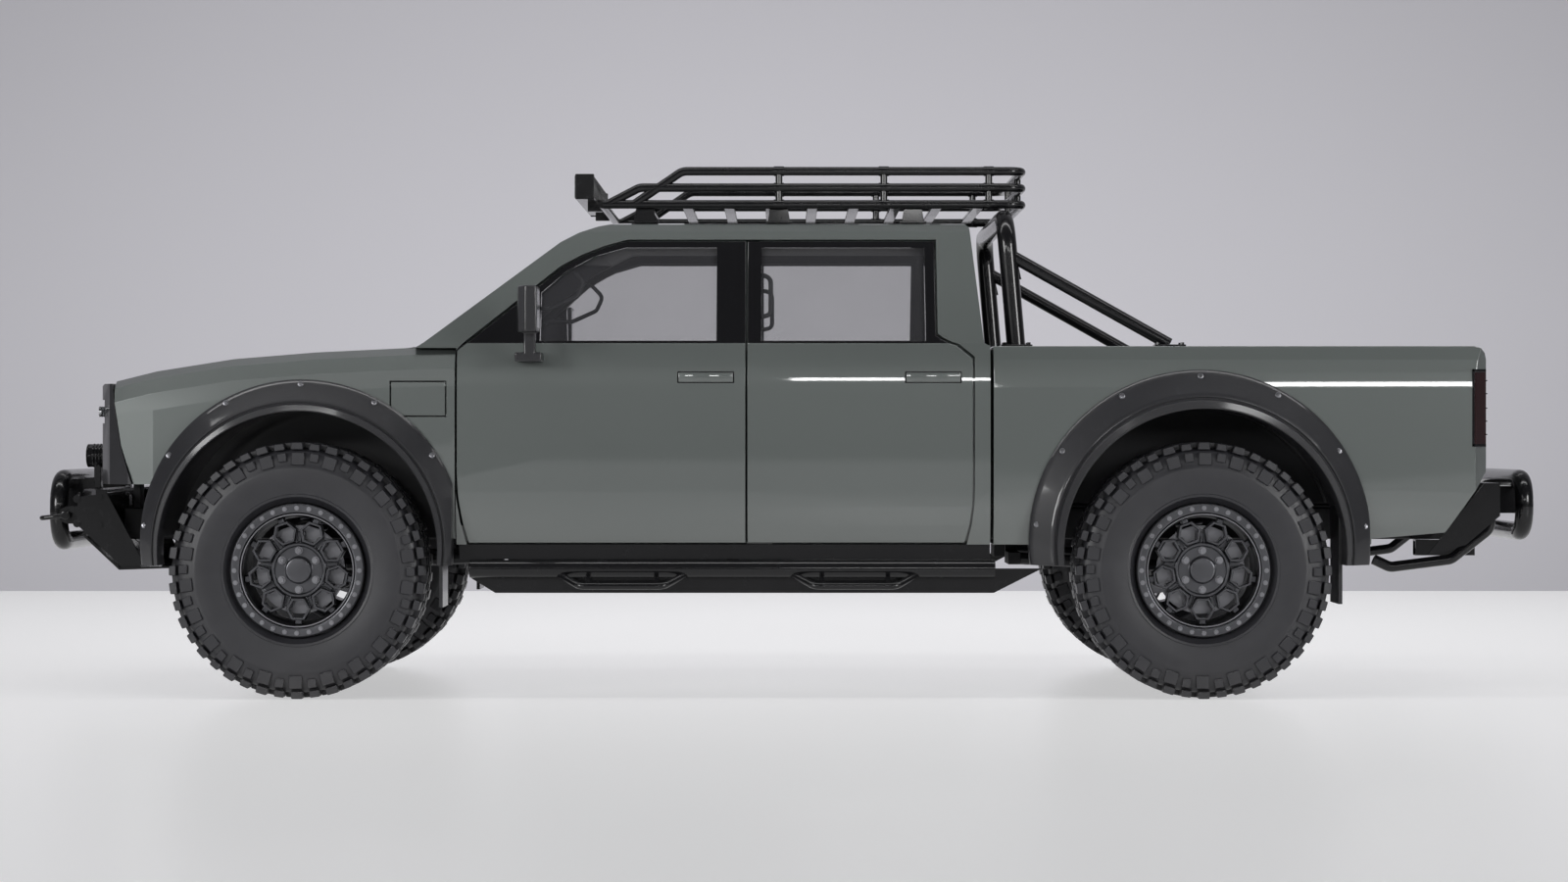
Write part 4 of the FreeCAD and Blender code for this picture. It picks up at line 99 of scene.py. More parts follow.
class PickupSizes(bpy.types.PropertyGroup):
    """Counts and sizes of the repeated detail"""
    tread_pairs: bpy.props.IntProperty(
        name="Tread pairs", description="Pairs of one long and one short shoulder block round a tyre",
        default=22, min=12, max=30)
    block_height: bpy.props.FloatProperty(
        name="Block height", description="How far the tread blocks stand out of the carcass",
        default=0.0275, min=0.01, max=0.04, unit="LENGTH")
    ring_bolts: bpy.props.IntProperty(
        name="Ring bolts", description="Bolts round the beadlock ring", default=32, min=12, max=40)
    rim_cells: bpy.props.IntProperty(
        name="Rim cells", description="Hexagonal cells round the rim", default=9, min=5, max=12)
    wheel_nuts: bpy.props.IntProperty(
        name="Wheel nuts", description="Nuts round the hub", default=6, min=4, max=8)
    tube_sides: bpy.props.IntProperty(
        name="Tube sides", description="Sides of every bent tube", default=16, min=8, max=32)
    edge_round: bpy.props.FloatProperty(
        name="Panel edge", description="Rounding of the body panels' edges", default=0.003, min=0.0,
        max=0.01, unit="LENGTH")
    lens: bpy.props.FloatProperty(
        name="Lens", description="Focal length of the studio camera", default=83.25, min=20, max=200,
        unit="CAMERA")


# Shader maths

class Field:
    """A socket in a finish's node tree. Operators on it add Math nodes."""

    def __init__(self, finish, socket):
        self.finish, self.socket = finish, socket

    def math(self, operation, *values):
        node = self.finish.add("ShaderNodeMath", {"operation": operation}, dict(enumerate(values)))
        return Field(self.finish, node.outputs[0])

    def __add__(self, other):
        return self.math("ADD", self, other)

    def __sub__(self, other):
        return self.math("SUBTRACT", self, other)

    def __rsub__(self, other):
        return self.math("SUBTRACT", other, self)

    def __mul__(self, other):
        return self.math("MULTIPLY", self, other)

    __radd__ = __add__

    def above(self, edge, width):
        """0 under edge and 1 over it, with a soft step of that width."""
        node = self.finish.add("ShaderNodeMapRange", {"interpolation_type": "SMOOTHSTEP"},
                               {"Value": self, "From Min": edge - width, "From Max": edge + width})
        return Field(self.finish, node.outputs["Result"])


class Finish:
    """A procedural material and the calls that build its nodes."""

    def __init__(self, name):
        self.material = bpy.data.materials.new("pickup_" + name)
        self.material.use_nodes = True
        self.tree = self.material.node_tree
        self.shader = self.tree.nodes["Principled BSDF"]

    def add(self, kind, settings=None, sockets=None):
        """One node: its settings first, then the values or links of its sockets."""
        node = self.tree.nodes.new(kind)
        for key, value in (settings or {}).items():
            setattr(node, key, value)
        for key, value in (sockets or {}).items():
            self.feed(node.inputs[key], value)
        return node

    def feed(self, socket, value):
        if isinstance(value, Field):
            self.tree.links.new(value.socket, socket)
        elif isinstance(value, bpy.types.NodeSocket):
            self.tree.links.new(value, socket)
        else:
            socket.default_value = value

    def place(self):
        """The object's own coordinates."""
        return self.add("ShaderNodeTexCoord").outputs["Object"]

    def axis(self, name):
        return Field(self, self.add("ShaderNodeSeparateXYZ", None, {0: self.place()}).outputs[name])

    def noise(self, scale, detail=2.0, rough=0.5):
        sockets = {"Vector": self.place(), "Scale": scale, "Detail": detail, "Roughness": rough}
        node = self.add("ShaderNodeTexNoise", None, sockets)
        return Field(self, node.outputs["Fac"])

    def cells(self, scale):
        node = self.add("ShaderNodeTexVoronoi", {"feature": "F1"}, {"Vector": self.place(), "Scale": scale})
        return Field(self, node.outputs["Distance"])

    def waves(self, direction, scale, wobble=0.0):
        node = self.add("ShaderNodeTexWave", {"bands_direction": direction},
                        {"Vector": self.place(), "Scale": scale, "Distortion": wobble})
        return Field(self, node.outputs["Fac"])

    def reach(self, centre, radii):
        """Distance from a centre, 1 on the ellipsoid with these radii."""
        spot = self.place()
        for operation, value in (("SUBTRACT", centre), ("DIVIDE", radii)):
            spot = self.add("ShaderNodeVectorMath", {"operation": operation}, {0: spot, 1: value}).outputs[0]
        node = self.add("ShaderNodeVectorMath", {"operation": "LENGTH"}, {0: spot})
        return Field(self, node.outputs["Value"])

    def blend(self, share, low, high):
        """Mixes two colours, written or linked, by a field."""
        low, high = ((*c, 1) if isinstance(c, tuple) else c for c in (low, high))
        node = self.add("ShaderNodeMix", {"data_type": "RGBA"}, {0: share, 6: low, 7: high})
        return node.outputs[2]

    def bump(self, height, strength, distance):
        sockets = {"Height": height, "Strength": strength, "Distance": distance}
        node = self.add("ShaderNodeBump", None, sockets)
        self.feed(self.shader.inputs["Normal"], node.outputs["Normal"])

    def set(self, sockets):
        for key, value in sockets.items():
            self.feed(self.shader.inputs[key], value)


def shaded(colour, factor):
    return tuple(channel * factor for channel in colour)


def coated(skin, colour, rough, grain, depth, coat=0.0, gloss=0.35):
    """Powder coat or moulded plastic: fine grain, faint dirt and uneven gloss."""
    cloud = skin.noise(3.5, 4, 0.6)
    fine = skin.noise(grain)
    scuff = skin.noise(22.0, 6, 0.7).above(0.62, 0.07)
    tone = skin.blend(cloud, shaded(colour, 0.82), shaded(colour, 1.22))
    skin.set({"Base Color": skin.blend(scuff * 0.16, tone, shaded(colour, 2.6)),
              "Roughness": rough + (cloud - 0.5) * 0.12 + (fine - 0.5) * 0.08 + scuff * 0.05,
              "Specular IOR Level": gloss, "Coat Weight": coat, "Coat Roughness": 0.07})
    skin.bump(fine, depth, 0.0006)


def metal(skin, colour, rough, metallic=1.0):
    """Cast or drawn metal with a fine brushed grain."""
    cloud = skin.noise(6, 5, 0.6)
    lines = skin.noise(260.0, 3, 0.6)
    skin.set({"Base Color": skin.blend(cloud, shaded(colour, 0.78), shaded(colour, 1.2)),
              "Metallic": metallic, "Roughness": rough + (cloud - 0.5) * 0.16 + (lines - 0.5) * 0.1})
    skin.bump(lines, 0.12, 0.0004)


def body_paint(skin, colour):
    """Satin clear coat over a fine flake, lighter low on the body as a painted reflection of the floor."""
    flake = skin.cells(2600.0)
    cloud = skin.noise(1.3, 3)
    peel = skin.noise(140.0)
    # Mask for the lower body, where the colour is lifted towards light grey as a painted reflection of the
    # floor.
    low = 1 - skin.axis("Z").above(0.66, 0.16)
    tone = skin.blend(cloud * 0.5 + flake * 0.5, shaded(colour, 0.93), shaded(colour, 1.1))
    skin.set({"Base Color": skin.blend(low * 0.1, tone, (0.26, 0.26, 0.24)), "Metallic": 0.25,
              "Roughness": 0.36 + low * 0.1 + (cloud - 0.5) * 0.06, "Coat Weight": 1.0,
              "Coat IOR": 1.75, "Coat Roughness": 0.035})
    skin.bump(peel, 0.03, 0.0005)


def tyre_rubber(skin, colour):
    """Dull rubber, lighter in patches low on the tyre as a painted sheen from the floor."""
    cloud = skin.noise(9, 5, 0.65)
    fine = skin.noise(420, 3, 0.6)
    # Patchy lightening low on the tyre: a painted sheen from the floor.
    floor_sheen = (1 - skin.axis("Z").above(0.09, 0.09)) * cloud
    tone = skin.blend(cloud, shaded(colour, 0.8), shaded(colour, 1.45))
    skin.set({"Base Color": skin.blend(floor_sheen * 0.22, tone, (0.2, 0.19, 0.18)),
              "Roughness": 0.42 + (cloud - 0.5) * 0.2 + (fine - 0.5) * 0.1})
    skin.bump(fine + cloud * 0.5, 0.2, 0.0008)


def window_glass(skin):
    """Lightly tinted glass with a faint smear."""
    smear = skin.noise(4, 3)
    skin.set({"Base Color": skin.blend(smear, (0.1, 0.1, 0.11), (0.13, 0.13, 0.14)),
              "Roughness": 0.02 + smear * 0.02, "Alpha": 0.16 + smear * 0.03, "IOR": 1.45})
    skin.material.surface_render_method = "BLENDED"


def cabin_fabric(skin):
    """Woven seat cloth: two crossed threads and a fleck of lighter yarn."""
    weave = skin.waves("X", 240.0, 1.5) * skin.waves("Z", 240.0, 1.5)
    fleck = skin.noise(160)
    yarn = skin.blend(weave * 0.6 + fleck * 0.4, (0.014, 0.015, 0.017), (0.055, 0.057, 0.061))
    skin.set({"Base Color": yarn, "Roughness": 0.9 - weave * 0.1, "Sheen Weight": 0.3})
    skin.bump(weave, 0.5, 0.0009)


def lens(skin, colour, alpha, ribs, coat=0.6):
    """A lamp's cover with fine flutes."""
    flute = skin.waves("Z", ribs)
    skin.set({"Base Color": skin.blend(flute, shaded(colour, 0.6), colour), "Roughness": 0.07 + flute * 0.05,
              "Coat Weight": coat, "Alpha": alpha})
    skin.bump(flute, 0.03, 0.0005)


def studio(skin, colour, rough, middle, radii, near, far):
    """A studio surface, clear from behind. Its glow is seen, also in gloss and glass, but lights nothing."""
    cloud = skin.noise(0.4)
    rays = skin.add("ShaderNodeLightPath").outputs
    seen = [Field(skin, rays[f"Is {kind} Ray"]) for kind in ("Camera", "Glossy", "Transmission")]
    tone = skin.blend(skin.reach(middle, radii).above(0.5, 0.5), near, far)
    skin.set({"Base Color": skin.blend(cloud, shaded(colour, 0.975), shaded(colour, 1.025)),
              "Roughness": rough + cloud * 0.06, "Specular IOR Level": 0.2,
              "Alpha": 1 - Field(skin, skin.add("ShaderNodeNewGeometry").outputs["Backfacing"]),
              "Emission Color": skin.blend((seen[0] + seen[1] + seen[2]).above(0.5, 0.4), (0, 0, 0), tone),
              "Emission Strength": 1.0})


# How each finish is made: its function, then its values. A colour that can be set is named.
RECIPES = {
    "body_paint": (body_paint, "body"),
    "gloss_black": (coated, (0.004, 0.004, 0.005), 0.14, 300.0, 0.02, 0.8),
    "black_steel": (coated, "steel", 0.24, 700.0, 0.06, 0.45, 0.2),
    "black_trim": (coated, "trim", 0.4, 1100.0, 0.3, 0.5),
    "frame_steel": (coated, (0.018, 0.018, 0.02), 0.5, 500.0, 0.3),
    "cabin_trim": (coated, (0.018, 0.018, 0.021), 0.6, 800.0, 0.5),
    "bed_liner": (coated, (0.016, 0.016, 0.018), 0.7, 260.0, 1.0),
    "seal_rubber": (coated, (0.008, 0.008, 0.009), 0.6, 300.0, 0.2),
    "wheel_metal": (metal, "wheel", 0.34, 0.85),
    "bright_metal": (metal, (0.3, 0.3, 0.32), 0.3),
    "lamp_metal": (metal, (0.72, 0.73, 0.75), 0.14),
    "spring_steel": (metal, (0.06, 0.06, 0.07), 0.42, 0.7),
    "brake_iron": (metal, (0.3, 0.3, 0.32), 0.42),
    "tyre_rubber": (tyre_rubber, "rubber"),
    "window_glass": (window_glass,),
    "cabin_fabric": (cabin_fabric,),
    "lamp_glass": (lens, (0.7, 0.72, 0.75), 0.5, 60.0),
    "tail_glass": (lens, (0.022, 0.0015, 0.002), 1.0, 45.0, 0.1),
    "studio_floor": (studio, "floor", 0.3, (1, 4, 0), (13, 13, 1), (0.56, 0.56, 0.565), (0.37, 0.37, 0.375)),
    "studio_wall": (studio, "wall", 0.8, (0, WALL_Y, 1.2), (12, 1, 5), (0.35, 0.347, 0.37),
                    (0.16, 0.158, 0.17)),
}


def finish(name):
    """The material of that name, made on its first use."""
    material = bpy.data.materials.get("pickup_" + name)
    if material:
        return material
    recipe, *values = RECIPES[name]
    look = bpy.context.scene.pickup_look
    skin = Finish(name)
    recipe(skin, *(tuple(getattr(look, value)) if isinstance(value, str) else value for value in values))
    return skin.material


# Pieces

def body_of(node):
    return next(body for body, members in record["behaviour"]["bodies"].items() if node in members)


def make_piece(bm, name, finishes, body="chassis", nodes=(), bevel=0.0, segments=2, smooth=35):
    """A bmesh as a piece that rides on a body, its edges rounded and its faces smoothed."""
    finishes = (finishes,) if isinstance(finishes, str) else finishes
    mesh = bpy.data.meshes.new(name)
    bm.to_mesh(mesh)
    bm.free()
    for entry in finishes:
        mesh.materials.append(finish(entry))
    piece = bpy.data.objects.new(name, mesh)
    bpy.context.scene.collection.objects.link(piece)
    mesh.shade_smooth()
    mesh.set_sharp_from_angle(angle=math.radians(smooth))
    if bevel:
        rounding = piece.modifiers.new("Edges", "BEVEL")
        rounding.width, rounding.segments = bevel, segments
        rounding.limit_method, rounding.angle_limit = "ANGLE", math.radians(smooth)
        normals = piece.modifiers.new("Flats", "WEIGHTED_NORMAL")
        normals.keep_sharp = True
    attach(piece, body)
    if nodes:
        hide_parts(*nodes)
    return piece


def merged_copy(node):
    """A copy of a CAD node's mesh with its loose triangles joined and its flats dissolved."""
    bm = bmesh.new()
    bm.from_mesh(frame["nodes"][node].data)
    bmesh.ops.remove_doubles(bm, verts=bm.verts, dist=2e-5)
    bmesh.ops.dissolve_limit(bm, angle_limit=math.radians(0.6), verts=bm.verts, edges=bm.edges)
    return bm


def dressed(node, finishes, bevel=0.003, smooth=30, choose=None, extra=None, segments=2):
    """A CAD node's own shape with rounded edges. choose picks a finish for each face."""
    bm = merged_copy(node)
    if choose:
        for face in bm.faces:
            face.material_index = choose(face.calc_center_median(), face.normal)
    if extra:
        absorb(bm, extra)
    return make_piece(bm, node + "_shape", finishes, body_of(node), (node,), bevel, segments,
                      smooth)


def absorb(bm, part, matrix=None):
    """Moves part's mesh into bm."""
    if matrix is not None:
        bmesh.ops.transform(part, matrix=matrix, verts=part.verts)
        if matrix.determinant() < 0:
            bmesh.ops.reverse_faces(part, faces=part.faces)
    mesh = bpy.data.meshes.new("part")
    part.to_mesh(mesh)
    part.free()
    bm.from_mesh(mesh)
    bpy.data.meshes.remove(mesh)


def gathered(*parts):
    """Several meshes in one."""
    bm = bmesh.new()
    for part in parts:
        absorb(bm, part)
    return bm


def whole(bm):
    return bm.verts[:] + bm.edges[:] + bm.faces[:]


def stood(place, axis="X", angle=QUARTER):
    """A turn about one axis, then a move to a place."""
    return Matrix.Translation(place) @ Matrix.Rotation(angle, 4, axis)


def rounded(bm, edges, offset, segments, clamp=False):
    bmesh.ops.bevel(bm, geom=edges, offset=offset, offset_type="OFFSET", segments=segments, profile=0.5,
                    affect="EDGES", material=-1, clamp_overlap=clamp)


def both_sides(bm):
    """Adds the mirror image across the vehicle's middle."""
    bmesh.ops.mirror(bm, geom=whole(bm), axis="Y", merge_dist=0)
    bmesh.ops.recalc_face_normals(bm, faces=bm.faces)
    return bm


def block(low, high, rounding=0.0, segments=1, top=(1, 1)):
    """A block between two corners, its top narrowed and its edges rounded."""
    bm = bmesh.new()
    low, high = Vector(low), Vector(high)
    middle = (low + high) / 2
    size = Matrix.Diagonal((*(high - low), 1))
    bmesh.ops.create_cube(bm, size=1, matrix=Matrix.Translation(middle) @ size)
    if top != (1, 1):
        upper = [v for v in bm.verts if v.co.z > middle.z]
        bmesh.ops.scale(bm, vec=(*top, 1), verts=upper, space=Matrix.Translation(-middle))
    if rounding:
        rounded(bm, bm.edges[:], rounding, segments, clamp=True)
    return bm


def sided(sign, low, high, *values, **named):
    """A block on one side of the vehicle, its corners written for the right side."""
    inner, outer = sorted((sign * low[1], sign * high[1]))
    return block((low[0], inner, low[2]), (high[0], outer, high[2]), *values, **named)


def blocks(*boxes, rounding=0.0):
    """Several blocks in one mesh."""
    return gathered(*(block(low, high, rounding) for low, high in boxes))


def drum(centre, axis, radius, depth, sides=24, tip=None, rounding=0.0):
    """A round bar, or a cone that narrows to tip, centred on a point."""
    bm = bmesh.new()
    turn = Vector(UP).rotation_difference(Vector(axis)).to_matrix().to_4x4()
    bmesh.ops.create_cone(bm, cap_ends=True, segments=sides, radius1=radius,
                          radius2=radius if tip is None else tip, depth=depth)
    if rounding:
        rims = [e for e in bm.edges if abs(e.verts[0].co.z - e.verts[1].co.z) < depth / 2]
        rounded(bm, rims, rounding, 2)
    bmesh.ops.transform(bm, matrix=Matrix.Translation(centre) @ turn, verts=bm.verts)
    return bm


def turned(profile, steps):
    """A closed ring turned round the Y axis from (radius, y) corners."""
    bm = bmesh.new()
    verts = [bm.verts.new((0, y, radius)) for radius, y in profile]
    edges = [bm.edges.new(pair) for pair in zip(verts, verts[1:] + verts[:1])]
    bmesh.ops.spin(bm, geom=verts + edges, cent=ORIGIN, axis=ACROSS, dvec=ORIGIN, angle=math.tau,
                   steps=steps, use_merge=True, use_duplicate=False)
    bmesh.ops.remove_doubles(bm, verts=bm.verts, dist=1e-6)
    bmesh.ops.recalc_face_normals(bm, faces=bm.faces)
    return bm


def wound(radius, wire, steps, sides, turns=1, rise=0.0):
    """A round wire about the Z axis: a closed ring, or a spring where it rises."""
    bm = bmesh.new()
    bmesh.ops.create_circle(bm, cap_ends=bool(rise), segments=sides, radius=wire,
                            matrix=stood((radius, 0, 0)))
    count = int(turns * steps)
    bmesh.ops.spin(bm, geom=whole(bm), cent=ORIGIN, axis=UP, dvec=(0, 0, rise / count),
                   angle=math.tau * turns, steps=count, use_merge=not rise, use_duplicate=False)
    bmesh.ops.recalc_face_normals(bm, faces=bm.faces)
    return bm


def round_copies(bm, count):
    """Copies of the whole mesh at count equal turns about the Y axis."""
    bmesh.ops.spin(bm, geom=whole(bm), cent=ORIGIN, axis=ACROSS, dvec=ORIGIN,
                   angle=math.tau * (count - 1) / count, steps=count - 1, use_duplicate=True)


def tube(points, radius, bend=0.0):
    """A round tube along straight runs with rounded corners."""
    curve = bpy.data.curves.new("route", "CURVE")
    curve.dimensions, curve.bevel_depth = "3D", radius
    curve.use_fill_caps, curve.resolution_u = True, 8
    curve.bevel_resolution = bpy.context.scene.pickup_sizes.tube_sides // 2 - 2
    spots = [Vector(p) for p in points]
    stops = [(spots[0], spots[0].lerp(spots[1], -0.1), spots[0].lerp(spots[1], 0.1))]
    for before, corner, after in zip(spots, spots[1:], spots[2:]):
        back, ahead = (before - corner).normalized(), (after - corner).normalized()
        half_turn = (math.pi - back.angle(ahead)) / 2
        reach = bend * math.tan(half_turn)
        grip = 4 / 3 * math.tan(half_turn / 2) * bend
        start, end = corner + back * reach, corner + ahead * reach
        stops.append((start, start + back * grip, start - back * grip))
        stops.append((end, end - ahead * grip, end + ahead * grip))
    stops.append((spots[-1], spots[-1].lerp(spots[-2], 0.1), spots[-1].lerp(spots[-2], -0.1)))
    spline = curve.splines.new("BEZIER")
    spline.bezier_points.add(len(stops) - 1)
    for point, (spot, left, right) in zip(spline.bezier_points, stops):
        point.handle_left_type = point.handle_right_type = "FREE"
        point.co, point.handle_left, point.handle_right = spot, left, right
    carrier = bpy.data.objects.new("route", curve)
    mesh = bpy.data.meshes.new_from_object(carrier)
    bm = bmesh.new()
    bm.from_mesh(mesh)
    bpy.data.meshes.remove(mesh)
    bpy.data.objects.remove(carrier)
    bpy.data.curves.remove(curve)
    bmesh.ops.remove_doubles(bm, verts=bm.verts, dist=1e-5)
    bmesh.ops.recalc_face_normals(bm, faces=bm.faces)
    for face in bm.faces:
        face.material_index = 0
    return bm


def at_each_wheel(bm, name, finishes, node=None, bevel=0.0, smooth=35):
    """One copy of a wheel's piece, modelled about its centre with its face to +Y, at every wheel."""
    for place, x in WHEELS:
        for side, sign in SIDES:
            copy = bmesh.new()
            there = Matrix.Translation((x, sign * TRACK, HUB_Z)) @ Matrix.Diagonal((1, sign, 1, 1))
            absorb(copy, bm.copy(), there)
            make_piece(copy, f"{name}_{place}_{side}", finishes, f"wheel_{place}_{side}",
                       nodes=(f"{node}_{place}_{side}",) if node else (), bevel=bevel, smooth=smooth)
    bm.free()


def bumper_hoop(x, foot_z, radius):
    """The stadium-shaped guard tube that stands across a bumper."""
    half_y, z0, z1 = HOOP_HALF_Y - HOOP_TUBE, foot_z + HOOP_TUBE, HOOP_TOP_Z - HOOP_TUBE
    bend = (z1 - z0) / 2 * 0.88
    corners = ((0, z0), (half_y, z0), (half_y, z1), (-half_y, z1), (-half_y, z0), (0, z0))
    return tube([(x, y, z) for y, z in corners], radius, bend)


# Operators

class PICKUP_OT_studio(bpy.types.Operator):
    """Sets the camera, the pale floor, the wall and the soft lamps"""
    bl_idname = "pickup.studio"
    bl_label = "Studio"

    def plane(self, name, size, matrix):
        bm = bmesh.new()
        bmesh.ops.create_grid(bm, x_segments=1, y_segments=1, size=size, matrix=matrix)
        sheet = bpy.data.objects.new(name, bpy.data.meshes.new(name))
        bm.to_mesh(sheet.data)
        bm.free()
        sheet.data.materials.append(finish("studio_" + name))
        bpy.context.scene.collection.objects.link(sheet)

    def lamp(self, name, place, aim, size, power):
        data = bpy.data.lights.new(name, "AREA")
        data.shape, data.size, data.size_y = "RECTANGLE", *size
        data.energy = power
        light = bpy.data.objects.new(name, data)
        bpy.context.scene.collection.objects.link(light)
        way = Vector(aim) - Vector(place)
        light.matrix_world = Matrix.Translation(place) @ way.to_track_quat("-Z", "Y").to_matrix().to_4x4()

    def execute(self, context):
        scene = context.scene
        scene.view_settings.view_transform = "Standard"
        data = bpy.data.cameras.new("camera")
        data.lens, data.sensor_width, data.clip_end = scene.pickup_sizes.lens, 36.0, 200
        camera = bpy.data.objects.new("camera", data)
        scene.collection.objects.link(camera)
        camera.matrix_world = stood(CAMERA)
        scene.camera = camera
        self.plane("floor", 60, Matrix.Translation((0, 0, -0.0005)))
        self.plane("wall", 60, stood((0, WALL_Y, 0)))
        world = bpy.data.worlds.new("studio")
        scene.world = world
        world.use_nodes = True
        sky = world.node_tree.nodes["Background"]
        sky.inputs["Color"].default_value = (0.62, 0.615, 0.64, 1)
        sky.inputs["Strength"].default_value = 0.15
        self.lamp("top_strip", (0, -1.6, 5.2), (0, -1.0, 0), (12, 0.5), 130)
        for n, (x, length) in enumerate(((-5.3, 1.4), (-2.9, 1.1), (0.7, 1.3), (3.9, 1.6))):
            height = 2.7 + 0.2 * (n % 2)
            self.lamp(f"near_tube_{n}", (x, -10.5, height), (x * 0.6, 0, 1.1), (length, 0.4), 30)
        self.lamp("wall_box", (0, 3.0, 6.5), (0, WALL_Y, 0.6), (9, 2), 120)
        for name, sign in (("nose_box", -1), ("tail_box", 1)):
            self.lamp(name, (8.5 * sign, -9, 3.2), (0.5 * sign, 0, 0.9), (3, 3), 420)
        return {"FINISHED"}


class PICKUP_OT_tyres(bpy.types.Operator):
    """Builds the four lugged tyres"""
    bl_idname = "pickup.tyres"
    bl_label = "Tyres"

    # (radius, y) from the middle of the tread to the bead
    CARCASS = ((0.466, 0.0), (0.4655, 0.08), (0.464, 0.11), (0.46, 0.135), (0.448, 0.148), (0.42, 0.1545),
               (0.398, 0.157), (0.392, 0.1605), (0.384, 0.161), (0.37, 0.1615), (0.335, 0.16),
               (0.3, 0.153), (0.291, 0.1515), (0.287, 0.154), (0.279, 0.152), (0.272, 0.142),
               (0.2585, 0.129))

    TREAD_TOP, EDGE = 0.4856, 0.0026

    def tread_block(self, angle, run, y, radius, top):
        """One tread block over an arc of length run, between two y and two radii."""
        bm = block((-run / 2, y[0], radius[0]), (run / 2, y[1], radius[1]), self.EDGE, top=top)
        bmesh.ops.rotate(bm, verts=bm.verts, cent=ORIGIN, matrix=Matrix.Rotation(angle, 3, "Y"))
        return bm

    def execute(self, context):
        sizes = context.scene.pickup_sizes
        pitch = math.tau / sizes.tread_pairs / 2
        top, foot = self.TREAD_TOP, self.TREAD_TOP - sizes.block_height
        pair = bmesh.new()
        for n, (shoulder, wall_run, wall_foot) in enumerate(((0.047, 0.05, 0.399), (0.041, 0.034, 0.414))):
            for sign in (1, -1):
                angle = pitch * (n + (0.5 if sign < 0 else 0))
                near, far = (0.09, 0.163) if n else (0.082, 0.1642)
                spans = (
                    (angle, shoulder, (near, far), (foot, top - 0.002 * n), (0.88, 0.9)),
                    (angle + pitch * 0.08, wall_run, (0.146, 0.1646), (wall_foot, 0.447), (1, 1)),
                    (angle + pitch * 0.42, 0.05, (0.04, 0.078), (foot + 0.004, top), (0.9, 0.9)),
                    (angle + pitch * 0.1, 0.038, (0.006, 0.036), (foot + 0.004, top), (0.9, 0.9)),
                )
                for span in spans:
                    absorb(pair, self.tread_block(*span), Matrix.Diagonal((1, sign, 1, 1)))
        round_copies(pair, sizes.tread_pairs)
        inner = [(radius, -y) for radius, y in self.CARCASS[:0:-1]]
        tyre = turned(self.CARCASS + tuple(inner), sizes.tread_pairs * 4)
        absorb(tyre, pair)
        at_each_wheel(tyre, "tread", "tyre_rubber", "tyre", smooth=40)
        return {"FINISHED"}


